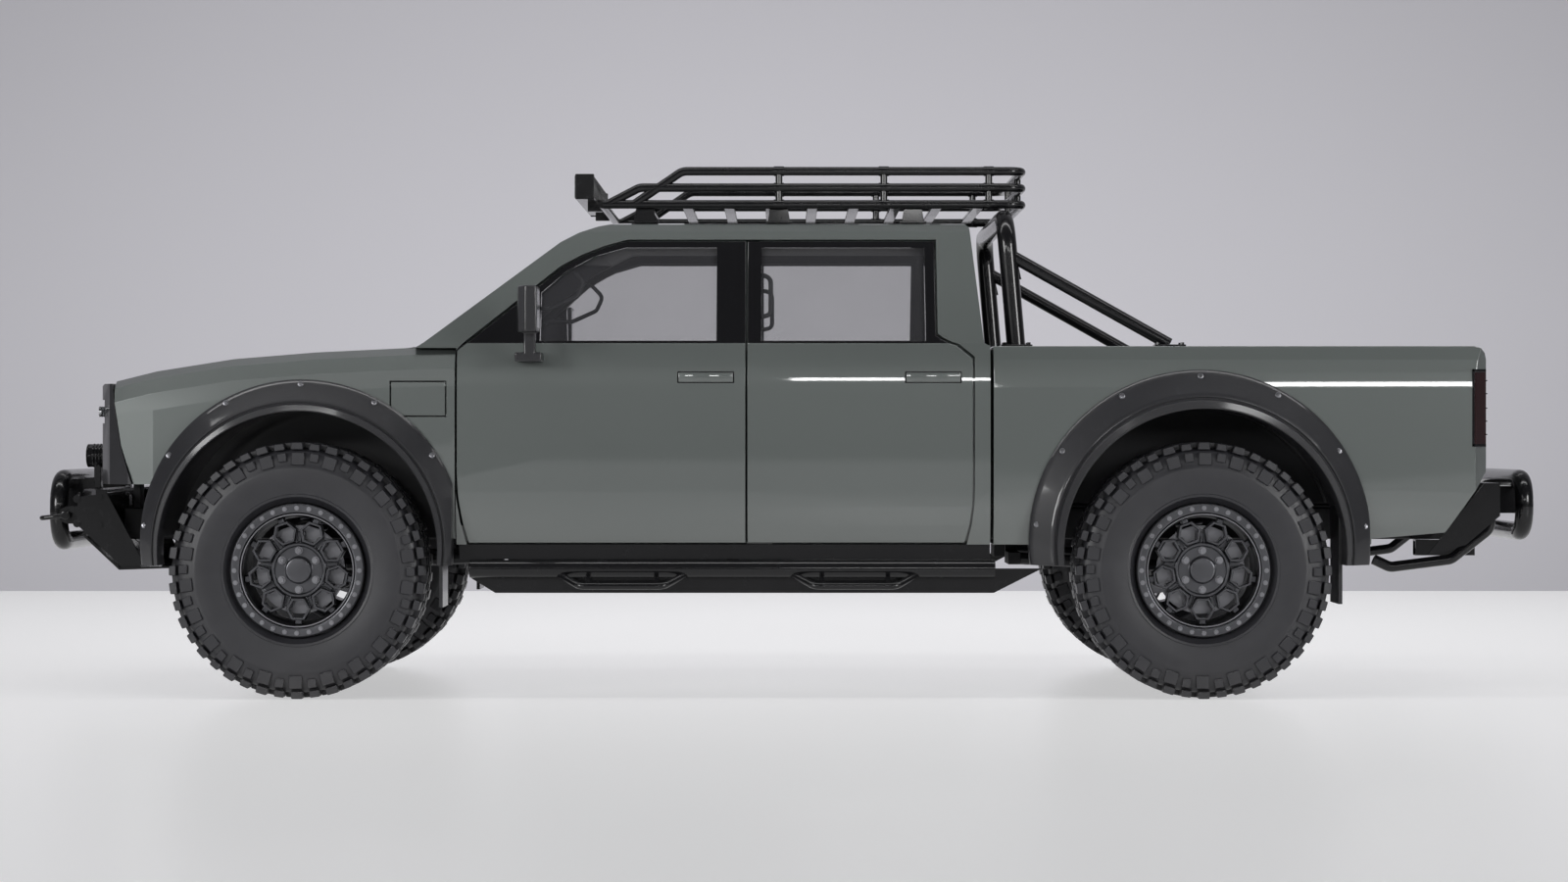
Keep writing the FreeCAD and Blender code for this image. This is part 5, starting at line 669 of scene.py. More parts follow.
class PICKUP_OT_rims(bpy.types.Operator):
    """Builds the four beadlock rims with their hexagonal cells"""
    bl_idname = "pickup.rims"
    bl_label = "Rims"

    # (radius, y) corners of the turned parts
    BARREL = ((0.255, -0.128), (0.255, 0.147), (0.2525, 0.153), (0.248, 0.1575), (0.226, 0.1575),
              (0.2205, 0.155), (0.218, 0.15), (0.2165, 0.13), (0.2085, 0.096), (0.203, 0.08),
              (0.199, 0.06), (0.201, -0.06), (0.245, -0.12), (0.245, -0.128))
    LIP = ((0.2168, 0.146), (0.215, 0.1515), (0.211, 0.1515), (0.209, 0.147), (0.2095, 0.1),
           (0.215, 0.1))
    HUB = ((0.0, 0.048), (0.0, 0.118), (0.04, 0.118), (0.0465, 0.1155), (0.049, 0.11), (0.05, 0.099),
           (0.054, 0.096), (0.089, 0.096), (0.092, 0.1055), (0.095, 0.108), (0.101, 0.108), (0.106, 0.104),
           (0.11, 0.09), (0.113, 0.064), (0.113, 0.048))
    CELL_RADIUS, CELL_OUTER, CELL_INNER, CELL_BACK = 0.148, 0.048, 0.0375, 0.062
    BOLT_Z, NUT_Z = -0.2365, -0.0745

    def cell(self):
        """One open hexagonal cell at the bottom of the rim, with its rib to the barrel."""
        bm = bmesh.new()
        made = bmesh.ops.create_circle(bm, cap_ends=True, segments=6, radius=self.CELL_OUTER)
        face = made["verts"][0].link_faces[0]
        thickness = (self.CELL_OUTER - self.CELL_INNER) * math.cos(math.pi / 6)
        walls = bmesh.ops.inset_region(bm, faces=[face], use_even_offset=True, use_boundary=True,
                                       thickness=thickness)["faces"]
        bmesh.ops.delete(bm, geom=[face], context="FACES_ONLY")
        for ring_height, draw in ((0.052, 1.0), (0.009, 0.955)):
            raised = bmesh.ops.extrude_face_region(bm, geom=walls)
            verts = [item for item in raised["geom"] if isinstance(item, bmesh.types.BMVert)]
            walls = [item for item in raised["geom"] if isinstance(item, bmesh.types.BMFace)]
            bmesh.ops.translate(bm, vec=(0, 0, ring_height), verts=verts)
            middle = (self.CELL_OUTER + self.CELL_INNER) / 2
            outside = [vert for vert in verts if vert.co.to_2d().length > middle]
            bmesh.ops.scale(bm, vec=(draw, draw, 1), verts=outside)
        bmesh.ops.recalc_face_normals(bm, faces=bm.faces)
        there = stood((0, self.CELL_BACK, -self.CELL_RADIUS), "X", -QUARTER)
        bmesh.ops.transform(bm, matrix=there @ Matrix.Rotation(math.pi / 6, 4, "Z"), verts=bm.verts)
        absorb(bm, block((-0.0125, 0.058, -0.206), (0.0125, 0.112, -0.183), 0.003))
        return bm

    def execute(self, context):
        sizes = context.scene.pickup_sizes
        cells = self.cell()
        for web in (block((-0.022, 0.058, -0.146), (0.022, 0.094, -0.102), 0.003),
                    block((-0.0095, 0.09, -0.15), (-0.0045, 0.106, -0.104), 0.0015),
                    block((0.0045, 0.09, -0.15), (0.0095, 0.106, -0.104), 0.0015)):
            absorb(cells, web, Matrix.Rotation(math.pi / sizes.rim_cells, 4, "Y"))
        round_copies(cells, sizes.rim_cells)
        bolts = gathered(drum((0, 0.159, self.BOLT_Z), ACROSS, 0.0092, 0.003, 14),
                         drum((0, 0.1605, self.BOLT_Z), ACROSS, 0.0066, 0.006, 6))
        round_copies(bolts, sizes.ring_bolts)
        nuts = gathered(drum((0, 0.098, self.NUT_Z), ACROSS, 0.015, 0.006, 18),
                        drum((0, 0.107, self.NUT_Z), ACROSS, 0.0125, 0.018, 6, 0.011))
        round_copies(nuts, sizes.wheel_nuts)
        rim = gathered(turned(self.BARREL, 96), turned(self.HUB, 60), cells)
        at_each_wheel(rim, "rim", "wheel_metal", "rim", bevel=0.0009, smooth=32)
        at_each_wheel(turned(self.LIP, 96), "rim_lip", "bright_metal", smooth=40)
        at_each_wheel(gathered(bolts, nuts), "rim_bolts", "bright_metal", smooth=25)
        rotor = turned(((0.09, 0.033), (0.168, 0.033), (0.168, 0.041), (0.09, 0.041)), 64)
        at_each_wheel(rotor, "brake_rotor", "brake_iron")
        return {"FINISHED"}


class PICKUP_OT_panels(bpy.types.Operator):
    """Dresses the cab, doors, fenders, hood, bed and tailgate"""
    bl_idname = "pickup.panels"
    bl_label = "Body panels"

    @staticmethod
    def cab_face(centre, normal):
        """0 painted, 1 black round the screen, 2 lining."""
        inward = (Vector(CABIN_MIDDLE) - centre).dot(normal) > 0
        if inward and all(low < place < high for place, (low, high) in zip(centre, CABIN_ROOM)):
            return 2
        front_frame = centre.x < SCREEN_BACK_X and normal.x < -0.4
        rear_frame = centre.x > REAR_SCREEN_X and normal.x > 0.7
        return 1 if (front_frame or rear_frame) and centre.z > BELT_Z else 0

    @staticmethod
    def door_face(centre, normal):
        if normal.y * centre.y < -0.25 * abs(centre.y):
            return 2
        return 1 if centre.z > BELT_Z - 0.004 else 0

    @staticmethod
    def bed_face(centre, normal):
        return 1 if normal.y * centre.y < -0.4 * abs(centre.y) and abs(centre.y) < 0.72 else 0

    @staticmethod
    def gate_face(centre, normal):
        return 1 if normal.x < -0.5 else 0

    HANDLES = (("front", -0.297), ("rear", 0.567))
    WELL_HALF, PULL_HALF = 0.109, 0.103

    def handles(self):
        """Flush pulls in dark wells on the four doors."""
        for side, sign in SIDES:
            for place, x in self.HANDLES:
                near, far = x - self.WELL_HALF, x + self.WELL_HALF
                well = block((near, 0.9655, 1.196), (far, 0.9695, 1.242), 0.0015, top=(0.985, 1))
                near, far = x - self.PULL_HALF, x + self.PULL_HALF
                pull = block((near, 0.967, 1.201), (far, 0.9725, 1.237), 0.0022, 2)
                for part, name, look in ((well, "handle_well", "gloss_black"),
                                         (pull, "handle_pull", "body_paint")):
                    bm = bmesh.new()
                    absorb(bm, part, Matrix.Diagonal((1, sign, 1, 1)))
                    make_piece(bm, f"{name}_{place}_{side}", look, f"door_{place}_{side}",
                               smooth=40)

    def execute(self, context):
        edge = context.scene.pickup_sizes.edge_round
        lined, bed = ("body_paint", "gloss_black", "cabin_trim"), ("body_paint", "bed_liner")
        dressed("cab_shell", lined, edge, 25, self.cab_face)
        for place, _ in WHEELS:
            for side, _ in SIDES:
                dressed(f"door_{place}_{side}", lined, edge, 30, self.door_face)
                dressed(f"glass_{place}_{side}", "window_glass", 0)
        dressed("cab_glass", "window_glass", 0)
        dressed("cab_floor", "cabin_trim", 0.002)
        for node, share in (("front_fenders", 1), ("charge_flap", 0.6), ("hood", 1)):
            dressed(node, "body_paint", edge * share)
        dressed("bed_sides", bed, edge, 30, self.bed_face)
        dressed("tailgate", bed, edge, 30, self.gate_face)
        self.handles()
        wipers = bmesh.new()
        for y in (-0.52, 0.08):
            arm = [(-1.395, y, 1.35), (-1.352, y + 0.1, 1.392), (-1.33, y + 0.52, 1.411)]
            absorb(wipers, tube(arm, 0.0065, 0.05))
            absorb(wipers, block((-1.336, y + 0.14, 1.4), (-1.326, y + 0.7, 1.414), 0.002))
            absorb(wipers, drum((-1.396, y, 1.346), UP, 0.016, 0.02, 16))
        make_piece(wipers, "wipers", "black_trim", smooth=40)
        return {"FINISHED"}


class PICKUP_OT_flares(bpy.types.Operator):
    """Builds the wide wheel-arch flares with their lip rings and bolts, and the liners"""
    bl_idname = "pickup.flares"
    bl_label = "Flares"

    # (share of the way from the outer circle to the opening circle, y, extra radius)
    RINGS = ((0.0, 0.915, 0.0), (0.0, 0.9785, -0.001), (0.03, 0.988, -0.004), (0.1, 0.9945, -0.006),
             (0.58, 1.036, 0.0), (0.66, 1.0425, 0.0), (0.7, 1.0425, 0.0), (0.72, 1.037, 0.0),
             (0.75, 1.037, 0.0), (0.77, 1.0465, 0.0), (0.8, 1.051, 0.0), (0.955, 1.053, 0.0),
             (0.99, 1.049, 0.0), (1.0, 1.038, 0.0), (1.0, 0.915, 0.0))
    # (outer circle and opening circle as x, z, radius, then the rear foot's x and the bolts' radius)
    ARCHES = (((-1.831, 0.599, 0.613), (-1.837, 0.562, 0.5265), -1.2585, 0.594),
              ((1.578, 0.599, 0.65), (1.591, 0.566, 0.532), 2.222, 0.624))
    FOOT_Z = 0.507
    BOLT_DEGREES = (5.7, 33, 61.5, 90, 118, 147, 175)
    BOLT_LEAN = (0, 1, 0.2)

    def arch(self, outer, opening, end_x):
        """A turned profile whose centre slides from the outer circle to the opening, cut at its feet."""
        start, reach = outer[2], outer[2] - opening[2]
        bm = turned([(start - reach * share + extra, y) for share, y, extra in self.RINGS], 120)
        for vert in bm.verts:
            share = min(max((start - math.hypot(vert.co.x, vert.co.z)) / reach, 0), 1)
            vert.co.x += outer[0] + (opening[0] - outer[0]) * share
            vert.co.z += outer[1] + (opening[1] - outer[1]) * share
        for place, way in (((0, 0, self.FOOT_Z), UP), ((end_x, 0, 0), FORWARD)):
            cut = bmesh.ops.bisect_plane(bm, geom=whole(bm), plane_co=place, plane_no=way,
                                         clear_inner=True)["geom_cut"]
            rims = [item for item in cut if isinstance(item, bmesh.types.BMEdge)]
            for side in (-1, 1):
                foot = [edge for edge in rims if (edge.verts[0].co.x - outer[0]) * side > 0]
                if foot:
                    bmesh.ops.contextual_create(bm, geom=foot)
        bmesh.ops.recalc_face_normals(bm, faces=bm.faces)
        return bm

    def execute(self, context):
        flares, bolts = bmesh.new(), bmesh.new()
        for outer, opening, end_x, bolt_radius in self.ARCHES:
            absorb(flares, self.arch(outer, opening, end_x))
            for degrees in self.BOLT_DEGREES:
                angle = math.radians(degrees)
                x, z = outer[0] - bolt_radius * math.cos(angle), outer[1] + bolt_radius * math.sin(angle)
                if x > end_x - 0.02:
                    continue
                absorb(bolts, drum((x, 0.998, z), self.BOLT_LEAN, 0.0125, 0.008, 16, 0.0105, 0.001))
                absorb(bolts, drum((x, 1.003, z), self.BOLT_LEAN, 0.006, 0.005, 6))
        make_piece(both_sides(flares), "flares", "black_trim", nodes=("fender_flares",), smooth=32)
        make_piece(both_sides(bolts), "flare_bolts", "bright_metal", smooth=40)
        dressed("arch_liners", "black_trim", 0.002)
        return {"FINISHED"}


class PICKUP_OT_front(bpy.types.Operator):
    """Dresses the fascia, lamps, bumper, winch and recovery shackles"""
    bl_idname = "pickup.front"
    bl_label = "Front end"

    SPOT_Y, SPOT_Z = 0.33, 0.919
    EYE_X, EYE_Y, EYE_Z = -2.8, 0.56, 0.688
    ROPE_X, ROPE_Z, ROPE, ROPE_TURNS = -2.672, 0.702, 0.0065, 12
    # (x, z) of the bolts in the bumper's cheeks, and y of those in its face
    CHEEK_BOLTS = ((-2.716, 0.66), (-2.716, 0.755), (-2.628, 0.655), (-2.628, 0.765))
    FACE_BOLTS = (0.36, 0.44, 0.62)

    def shackle(self, sign):
        """A bow shackle that hangs forward from its pin through the bumper's eye."""
        x, y, z = self.EYE_X, sign * self.EYE_Y, self.EYE_Z
        half = [(x, 0.03, z), (x - 0.045, 0.033, z - 0.006), (x - 0.098, 0.026, z - 0.012)]
        route = [(a, y - b, c) for a, b, c in half] + [(a, y + b, c) for a, b, c in half[::-1]]
        bow = tube(route, 0.0095, 0.022)
        pin = drum((x, y, z), ACROSS, 0.0105, 0.092, 18)
        ears = [drum((x, y + end * 0.03, z), ACROSS, 0.018, 0.019, 20, rounding=0.002) for end in (1, -1)]
        head = drum((x, y + sign * 0.048, z), ACROSS, 0.015, 0.008, 6)
        return gathered(bow, pin, head, *ears)

    def execute(self, context):
        dressed("front_fascia", "black_trim", 0.004)
        dressed("front_lamps", ("lamp_glass", "black_steel"), 0.002, 30,
                lambda centre, normal: 0 if centre.z > 1.0 else 1)
        dressed("front_bumper", "black_steel", 0.0022)
        dressed("winch", "black_steel", 0.0025)
        make_piece(bumper_hoop(-2.8525, 0.546, 0.0357), "front_hoop", "black_steel", smooth=50)

        faces, rims = bmesh.new(), bmesh.new()
        for sign in (1, -1):
            y, z = sign * self.SPOT_Y, self.SPOT_Z
            absorb(faces, drum((-2.7615, y, z), FORWARD, 0.04, 0.006, 40, 0.036))
            absorb(rims, wound(0.0425, 0.004, 40, 8), stood((-2.7605, y, z), "Y"))
            for n in range(4):
                absorb(rims, drum((-2.738 + 0.013 * n, y, z), ALONG, 0.0475, 0.004, 40))
            for n in range(6):
                y = sign * (0.548 + 0.046 * n)
                absorb(faces, drum((-2.628, y, 1.09), FORWARD, 0.017, 0.01, 24, 0.021))
        make_piece(faces, "lamp_reflectors", "lamp_metal", smooth=40)
        make_piece(rims, "lamp_rims", "black_steel", smooth=40)
        bars = [-0.468 + 0.026 * n for n in range(37)]
        mesh = blocks(*[((-2.612, y, 0.927), (-2.608, y + 0.004, 1.135)) for y in bars])
        make_piece(mesh, "grille_mesh", "black_trim")
        shackles = gathered(self.shackle(1), self.shackle(-1))
        make_piece(shackles, "recovery_shackles", "black_steel", smooth=40)
        rope = bmesh.new()
        for n in range(self.ROPE_TURNS):
            y = self.ROPE * (2 * n + 1 - self.ROPE_TURNS)
            absorb(rope, wound(0.0475, self.ROPE, 32, 8), stood((self.ROPE_X, y, self.ROPE_Z)))
        make_piece(rope, "winch_rope", "seal_rubber", smooth=60)
        bolts = bmesh.new()
        for sign in (1, -1):
            for x, z in self.CHEEK_BOLTS:
                absorb(bolts, drum((x, sign * 0.802, z), ACROSS, 0.011, 0.008, 6))
                absorb(bolts, drum((x, sign * 0.8005, z), ACROSS, 0.015, 0.004, 18))
            for y in self.FACE_BOLTS:
                absorb(bolts, drum((-2.744, sign * y, 0.77), ALONG, 0.01, 0.008, 6))
        make_piece(bolts, "bumper_bolts", "black_steel", smooth=30)
        return {"FINISHED"}


class PICKUP_OT_rack(bpy.types.Operator):
    """Builds the roof basket and its light bar"""
    bl_idname = "pickup.rack"
    bl_label = "Roof rack"

    FRONT, BACK, HALF = -0.706, 0.928, 0.603
    LEVELS = (1.899, 1.964, 2.028)
    RAIL, POST, BEND = 0.017, 0.0136, 0.06
    ROOF_Z = 1.8262

    def execute(self, context):
        front, back, half = self.FRONT, self.BACK, self.HALF
        low, middle, high = self.LEVELS
        rack = bmesh.new()
        base = [(front, -half, low), (back, -half, low), (back, half, low), (front, half, low)]
        absorb(rack, tube(base, self.RAIL, self.BEND))
        absorb(rack, tube([(front, -half - 0.0085, low), (front, half + 0.0085, low)], self.RAIL))
        for z, slope in ((middle, 0.25 / 3), (high, 0.25)):
            start = front + slope
            run = [(start - (z - low), half, low), (start + 0.06, half, z), (back, half, z)]
            mirrored = [(x, -y, level) for x, y, level in run]
            absorb(rack, tube(mirrored + run[::-1], self.RAIL, self.BEND))
        collars = bmesh.new()
        length = back - front
        for share in (0.42, 0.67, 0.92):
            for sign in (1, -1):
                x = front + length * share
                absorb(rack, tube([(x, sign * half, low), (x, sign * half, high)], self.POST))
                for z in self.LEVELS:
                    absorb(collars, drum((x, sign * half, z), ALONG, 0.0195, 0.04, 20, rounding=0.002))
        for y in (-half / 2, 0, half / 2):
            absorb(rack, tube([(back, y, low), (back, y, high)], self.POST))
        pitch = length / 10
        slats = bmesh.new()
        for n in range(1, 10):
            x = front + pitch * n
            absorb(slats, block((x - 0.021, -half, low - 0.006), (x + 0.021, half, low + 0.006), 0.002))
            inset, top = half - 0.03, low + 0.006
            absorb(slats, block((x - 0.008, -inset, top), (x + 0.008, inset, top + 0.0015)))
        for share in (0.1, 0.42, 0.74):
            for sign in (1, -1):
                x = front + length * share
                x0, x1, roof = x - 0.045, x + 0.045, self.ROOF_Z
                absorb(slats, sided(sign, (x0, 0.566, roof), (x1, 0.58, low), 0.002, top=(0.7, 1)))
                absorb(slats, sided(sign, (x0, 0.566, low - 0.012), (x1, half, low), 0.002))
                absorb(slats, sided(sign, (x - 0.052, 0.548, roof), (x + 0.052, 0.6, 1.834), 0.002))
                for step in (-0.03, 0.03):
                    absorb(collars, drum((x + step, sign * 0.5815, 1.872), ACROSS, 0.008, 0.006, 6))
        absorb(rack, slats)
        absorb(rack, collars)
        make_piece(rack, "roof_basket", "black_steel", nodes=("roof_rack",), smooth=42)

        fins = [-0.54 + 0.0432 * n for n in range(26)]
        bar = blocks(*[((-0.77, y - 0.0022, 1.93), (-0.742, y + 0.0022, 2.012)) for y in fins],
                     rounding=0.0008)
        for sign in (1, -1):
            absorb(bar, sided(sign, (-0.8165, 0.553, 1.922), (-0.742, 0.5615, 2.021), 0.003))
        dressed("light_bar", "black_steel", 0.003, extra=bar)
        lamps = bmesh.new()
        for row in (1.95, 1.994):
            for n in range(24):
                absorb(lamps, drum((-0.8165, -0.529 + 0.046 * n, row), FORWARD, 0.01, 0.004, 16, 0.019))
        glass = block((-0.8195, -0.55, 1.9285), (-0.8175, 0.55, 2.0145), 0.0006)
        make_piece(lamps, "bar_reflectors", "lamp_metal", smooth=40)
        make_piece(glass, "bar_lens", "lamp_glass", smooth=40)
        return {"FINISHED"}


class PICKUP_OT_roll_bar(bpy.types.Operator):
    """Builds the roll bar over the bed"""
    bl_idname = "pickup.roll_bar"
    bl_label = "Roll bar"

    HALF, LEG_X, STAY_X = 0.752, 0.895, 1.485

    def execute(self, context):
        half, leg_x, stay_x = self.HALF, self.LEG_X, self.STAY_X
        left = [(leg_x, -half, 1.3385), (0.852, -half, 1.838)]
        bar = tube(left + [(x, -y, z) for x, y, z in left[::-1]], 0.036, 0.11)
        for sign in (1, -1):
            absorb(bar, tube([(0.864, sign * half, 1.698), (stay_x, sign * half, 1.35)], 0.024))
            for x in (leg_x, stay_x):
                absorb(bar, sided(sign, (x - 0.06, 0.707, 1.3383), (x + 0.06, 0.797, 1.3483), 0.002))
                for dx in (-0.046, 0.046):
                    for dy in (-0.034, 0.034):
                        absorb(bar, drum((x + dx, sign * half + dy, 1.352), UP, 0.008, 0.009, 6))
            absorb(bar, sided(sign, (0.868, 0.748, 1.6), (0.915, 0.756, 1.68), 0.001, top=(0.25, 1)))
        make_piece(bar, "roll_bar_tubes", "black_steel", nodes=("roll_bar",), smooth=42)
        return {"FINISHED"}


class PICKUP_OT_sides(bpy.types.Operator):
    """Dresses the sliders, steps, mirrors and grab handles"""
    bl_idname = "pickup.sides"
    bl_label = "Sides"

    FRONT, BACK, Y, Z = -1.19, 0.798, 0.965, 0.492
    STEPS = ((-0.862, -0.364), (0.024, 0.514))
    STEP_Y, STEP_Z = 1.069, 0.43

    def execute(self, context):
        dressed("rock_sliders", "black_steel", 0.0018)
        y, z, out, low = self.Y, self.Z, self.STEP_Y, self.STEP_Z
        tubes = tube([(self.FRONT, y, z), (self.BACK, y, z)], 0.0342)
        for x in (self.FRONT, self.BACK):
            absorb(tubes, drum((x, y, z), ALONG, 0.0342, 0.006, 28, rounding=0.002))
        for start, end in self.STEPS:
            loop = [(start, y, 0.475), (start + 0.092, out, low), (end - 0.092, out, low), (end, y, 0.475)]
            absorb(tubes, tube(loop, 0.0132, 0.046))
            for x in (start + 0.12, end - 0.12):
                absorb(tubes, tube([(x, 0.958, 0.47), (x, out, low)], 0.009))
        make_piece(both_sides(tubes), "slider_tubes", "black_steel", smooth=50)
        dressed("grab_handles", "cabin_trim", 0, 60)
        for side, sign in SIDES:
            dressed(f"mirror_{side}", "black_trim", 0.01, segments=3)
            glass = sided(sign, (-0.9255, 1.04, 1.4), (-0.9225, 1.192, 1.546), 0.001)
            make_piece(glass, f"mirror_glass_{side}", "lamp_metal", f"door_front_{side}")
        return {"FINISHED"}


class PICKUP_OT_rear(bpy.types.Operator):
    """Dresses the tail lamps and the rear bumper"""
    bl_idname = "pickup.rear"
    bl_label = "Rear end"

    FACE_X = 2.7415
    # (rear x, low z, high z) of the lower, upper and front edge beside a tail lamp
    LAMP_EDGES = ((2.664, 0.955, 0.966), (2.664, 1.239, 1.25), (2.6205, 0.955, 1.25))
    LAMP_BARS = (1.0, 1.05, 1.1, 1.155, 1.205)
    # (x, z) along a skid tube
    SKID = ((2.281, 0.5192), (2.3446, 0.489), (2.5806, 0.5192), (2.735, 0.64), (2.727, 0.71))

    def execute(self, context):
        dressed("tail_lamps", "tail_glass", 0.003)
        frames = blocks(*[((2.612, 0.969, low), (end, 0.9722, high)) for end, low, high in self.LAMP_EDGES],
                        rounding=0.001)
        bars = blocks(*[((2.6745, 0.724, z), (2.6775, 0.925, z + 0.004)) for z in self.LAMP_BARS])
        make_piece(both_sides(gathered(frames, bars)), "tail_lamp_frames", "gloss_black")
        dressed("rear_bumper", "black_steel", 0.0022)
        tubes = bumper_hoop(2.9125, 0.585, 0.0356)
        for sign in (1, -1):
            absorb(tubes, tube([(x, sign * 0.7, z) for x, z in self.SKID], 0.0203, 0.05))
        make_piece(tubes, "rear_tubes", "black_steel", smooth=50)
        lamps = bmesh.new()
        for sign in (1, -1):
            absorb(lamps, drum((self.FACE_X, sign * 0.6, 0.752), ALONG, 0.034, 0.006, 36, rounding=0.002))
            absorb(lamps, sided(sign, (2.738, 0.345, 0.742), (2.7435, 0.455, 0.762), 0.002))
        make_piece(lamps, "rear_lamps", "tail_glass", smooth=40)
        plate = block((self.FACE_X, -0.165, 0.7), (self.FACE_X + 0.002, 0.165, 0.805), 0.0008)
        make_piece(plate, "blank_plate", "bright_metal")
        return {"FINISHED"}


class PICKUP_OT_chassis(bpy.types.Operator):
    """Dresses the frame, axles, links, springs and battery"""
    bl_idname = "pickup.chassis"
    bl_label = "Chassis"

    BEVELS = (("frame_rails", 0.006), ("frame_crossmembers", 0.004), ("frame_towers", 0.003),
              ("front_axle", 0.003), ("rear_axle", 0.003), ("suspension_links", 0.002),
              ("knuckle_left", 0.002), ("knuckle_right", 0.002))
    SPRING_Y, SPRING_SEATS = 0.52, (0.5625, 0.744)

    def execute(self, context):
        for node, bevel in self.BEVELS:
            dressed(node, "frame_steel", bevel, 40)
        starts = [-0.93 + 0.14 * n for n in range(12)]
        ribs = blocks(*[((x, -0.33, 0.4675), (x + 0.04, 0.33, 0.47)) for x in starts], rounding=0.001)
        dressed("battery_pack", "frame_steel", 0.012, extra=ribs, segments=3)
        springs, dampers = bmesh.new(), bmesh.new()
        for x in (FRONT_X, REAR_X):
            for sign in (1, -1):
                spot = (x, sign * self.SPRING_Y)
                absorb(springs, wound(0.0475, 0.008, 20, 8, 5.5, 0.15), Matrix.Translation((*spot, 0.579)))
                absorb(dampers, drum((*spot, 0.602), UP, 0.024, 0.095, 28, rounding=0.003))
                absorb(dampers, drum((*spot, 0.695), UP, 0.011, 0.115, 20))
                for z in self.SPRING_SEATS:
                    absorb(dampers, drum((*spot, z), UP, 0.0555, 0.014, 32, rounding=0.003))
        make_piece(springs, "coil_springs", "spring_steel", nodes=("spring_dampers",), smooth=60)
        make_piece(dampers, "dampers", "spring_steel", smooth=40)
        return {"FINISHED"}


class PICKUP_OT_cabin(bpy.types.Operator):
    """Builds the seats, dashboard and steering wheel"""
    bl_idname = "pickup.cabin"
    bl_label = "Cabin"

    SEAT, REAR_SEAT_HALF, LEAN = (0.14, 0.65), 0.695, 0.045
    WHEEL_MIDDLE, WHEEL_TILT = (-0.705, -0.38, 1.165), 66

    def pad(self, low, high, lean=0.0, panels=3):
        """A sewn pad: a subdivided block whose sides pull in, with sewn channels across it."""
        bm = block(low, high)
        bmesh.ops.subdivide_edges(bm, edges=bm.edges[:], cuts=7, use_grid_fill=True)
        for _ in range(5):
            bmesh.ops.smooth_vert(bm, verts=bm.verts, factor=0.5, use_axis_x=True, use_axis_y=True,
                                  use_axis_z=True)
        width, height = high[1] - low[1], high[2] - low[2]
        for vert in bm.verts:
            share = (vert.co.y - low[1]) / width * panels
            groove = max(0.0, 1 - abs(share - round(share)) * 9) if 0.5 < share < panels - 0.5 else 0.0
            vert.co += vert.normal * (0.006 - 0.011 * groove)
            vert.co.x += lean * (vert.co.z - low[2]) / height
        bmesh.ops.recalc_face_normals(bm, faces=bm.faces)
        return bm

    def sewn(self, bm, name, nodes, fill=0.8):
        piece = make_piece(bm, name, "cabin_fabric", nodes=nodes, smooth=80)
        soft = piece.modifiers.new("Soft", "SUBSURF")
        soft.levels = soft.render_levels = 1

    def execute(self, context):
        shells = bmesh.new()
        for side, sign in SIDES:
            inner, outer = sorted((sign * self.SEAT[0], sign * self.SEAT[1]))
            cushion = self.pad((-0.515, inner, 0.945), (-0.085, outer, 1.045))
            self.sewn(cushion, f"seat_cushion_{side}", ("front_seats",) if sign < 0 else ())
            back = self.pad((-0.065, inner, 1.035), (0.035, outer, 1.315), self.LEAN)
            self.sewn(back, f"seat_back_{side}", ())
            absorb(shells, sided(sign, (-0.46, 0.195, 0.7355), (-0.02, 0.595, 0.935), 0.01, 2))
            absorb(shells, sided(sign, (-0.5, 0.15, 0.925), (-0.02, 0.64, 0.955), 0.01, 2))
        absorb(shells, block((0.19, -0.64, 0.7355), (0.59, 0.64, 0.935), 0.01, 2))
        make_piece(shells, "seat_bases", "cabin_trim", smooth=40)
        half = self.REAR_SEAT_HALF
        cushion = self.pad((0.135, -half, 0.94), (0.565, half, 1.045), panels=6)
        self.sewn(cushion, "rear_cushion", ("rear_seat",))
        back = self.pad((0.545, -half, 1.03), (0.64, half, 1.318), self.LEAN, panels=6)
        self.sewn(back, "rear_back", ())
        dash = gathered(
            block((-0.838, -0.19, 1.155), (-0.822, 0.19, 1.345), 0.004, 2),
            block((-0.842, -0.53, 1.215), (-0.826, -0.25, 1.325), 0.004, 2),
            block((-0.9, -0.81, 1.03), (-0.86, 0.81, 1.05), 0.004, 2),
        )
        dressed("dashboard", "cabin_trim", 0.012, 40, extra=dash, segments=3)
        screens = blocks(((-0.8215, -0.18, 1.165), (-0.8205, 0.18, 1.335)),
                         ((-0.8255, -0.52, 1.225), (-0.8245, -0.26, 1.315)))
        make_piece(screens, "screens", "gloss_black")
        wheel = wound(0.155, 0.0145, 64, 14)
        for degrees in (0, 90, 180):
            spoke = block((0.02, -0.015, -0.01), (0.148, 0.015, 0.004), 0.003, 2)
            absorb(wheel, spoke, Matrix.Rotation(math.radians(degrees - 90), 4, "Z"))
        absorb(wheel, drum((0, 0, -0.018), UP, 0.052, 0.04, 36, 0.044, 0.006))
        bm = bmesh.new()
        absorb(bm, wheel, stood(self.WHEEL_MIDDLE, "Y", math.radians(self.WHEEL_TILT)))
        make_piece(bm, "steering_ring", "cabin_trim", "steering_wheel", nodes=("steering_wheel",), smooth=50)
        return {"FINISHED"}


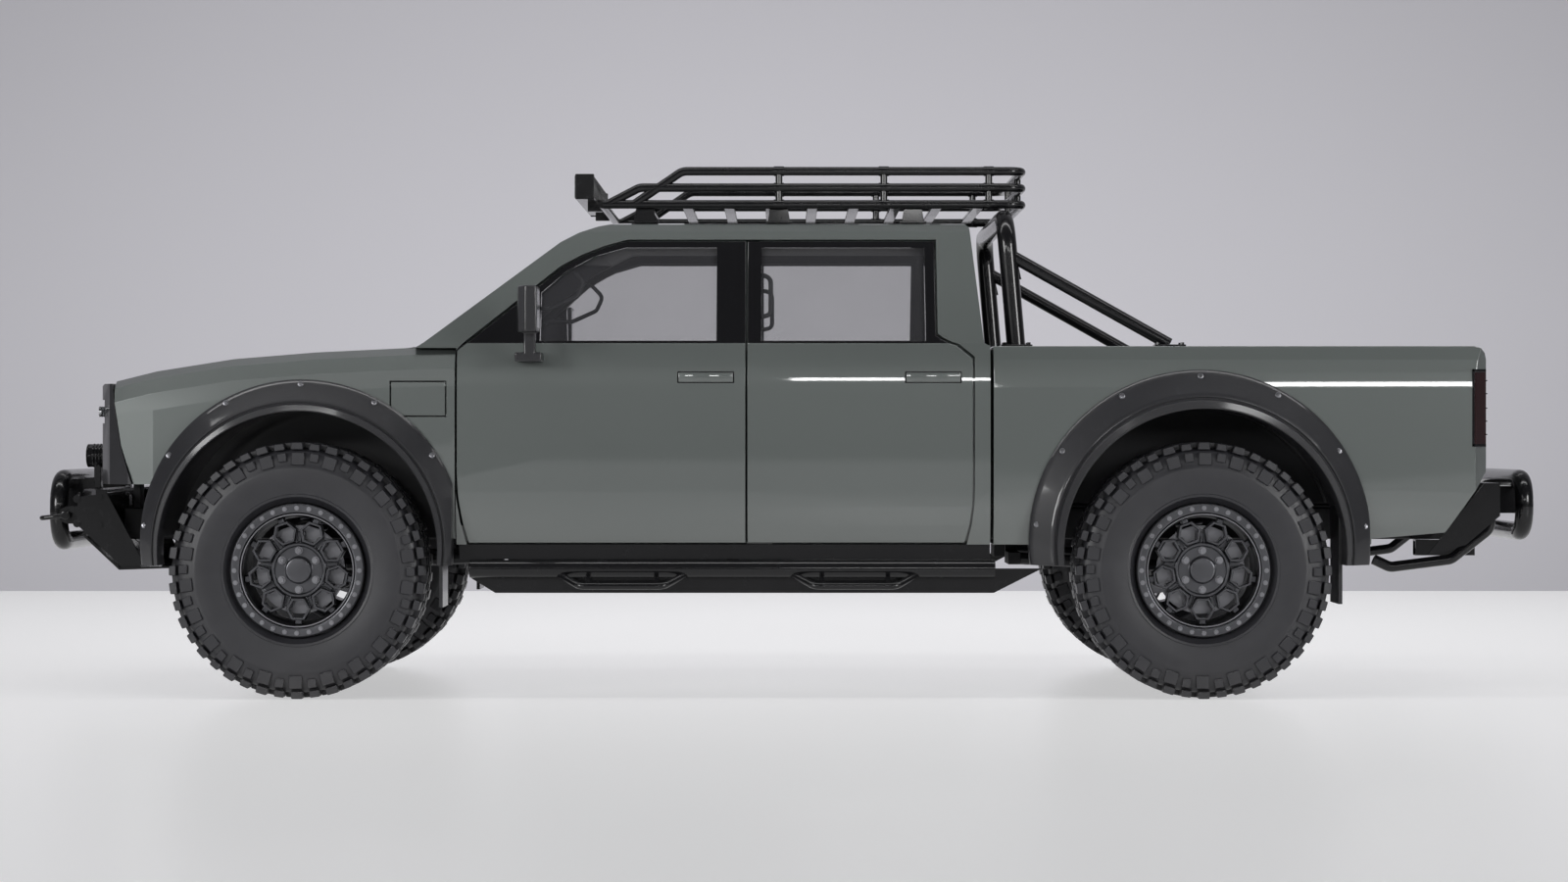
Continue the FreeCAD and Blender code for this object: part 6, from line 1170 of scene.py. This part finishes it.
class PICKUP_OT_bed(bpy.types.Operator):
    """Dresses the bed's tub with ribs, a rail and tie-downs"""
    bl_idname = "pickup.bed"
    bl_label = "Bed"

    def execute(self, context):
        rows = [-0.55 + 0.11 * n for n in range(11)]
        ribs = blocks(*[((0.83, y - 0.026, 0.9045), (2.585, y + 0.026, 0.9105)) for y in rows],
                      rounding=0.002)
        dressed("bed_tub", "bed_liner", 0.006, extra=ribs)
        fittings = bmesh.new()
        for sign in (1, -1):
            absorb(fittings, sided(sign, (0.9, 0.668, 1.215), (2.5, 0.683, 1.245), 0.003))
            for x in (1.05, 1.65, 2.25):
                absorb(fittings, wound(0.02, 0.0045, 24, 8), stood((x, sign * 0.655, 1.222)))
        make_piece(fittings, "bed_rails", "black_steel", smooth=45)
        return {"FINISHED"}


OPERATORS = (PICKUP_OT_studio, PICKUP_OT_tyres, PICKUP_OT_rims, PICKUP_OT_panels, PICKUP_OT_flares,
             PICKUP_OT_front, PICKUP_OT_rack, PICKUP_OT_roll_bar, PICKUP_OT_sides, PICKUP_OT_rear,
             PICKUP_OT_chassis, PICKUP_OT_cabin, PICKUP_OT_bed)


class PICKUP_PT_sidebar(bpy.types.Panel):
    """Lists the pickup's settings and the pieces that can be built"""
    bl_idname = "PICKUP_PT_sidebar"
    bl_label = "Off-road pickup"
    bl_space_type = "VIEW_3D"
    bl_region_type = "UI"
    bl_category = "Pickup"

    def draw(self, context):
        layout = self.layout
        for group in (context.scene.pickup_look, context.scene.pickup_sizes):
            column = layout.column(align=True)
            for key in group.__annotations__:
                column.prop(group, key)
        column = layout.column(align=True)
        for operator in OPERATORS:
            column.operator(operator.bl_idname)


CLASSES = (PickupLook, PickupSizes, *OPERATORS, PICKUP_PT_sidebar)


def register():
    for entry in CLASSES:
        bpy.utils.register_class(entry)
    bpy.types.Scene.pickup_look = bpy.props.PointerProperty(type=PickupLook)
    bpy.types.Scene.pickup_sizes = bpy.props.PointerProperty(type=PickupSizes)


def unregister():
    del bpy.types.Scene.pickup_sizes
    del bpy.types.Scene.pickup_look
    for entry in reversed(CLASSES):
        bpy.utils.unregister_class(entry)


def main():
    register()
    for operator in OPERATORS:
        group, name = operator.bl_idname.split(".")
        getattr(getattr(bpy.ops, group), name)()


if __name__ == "__main__":
    main()
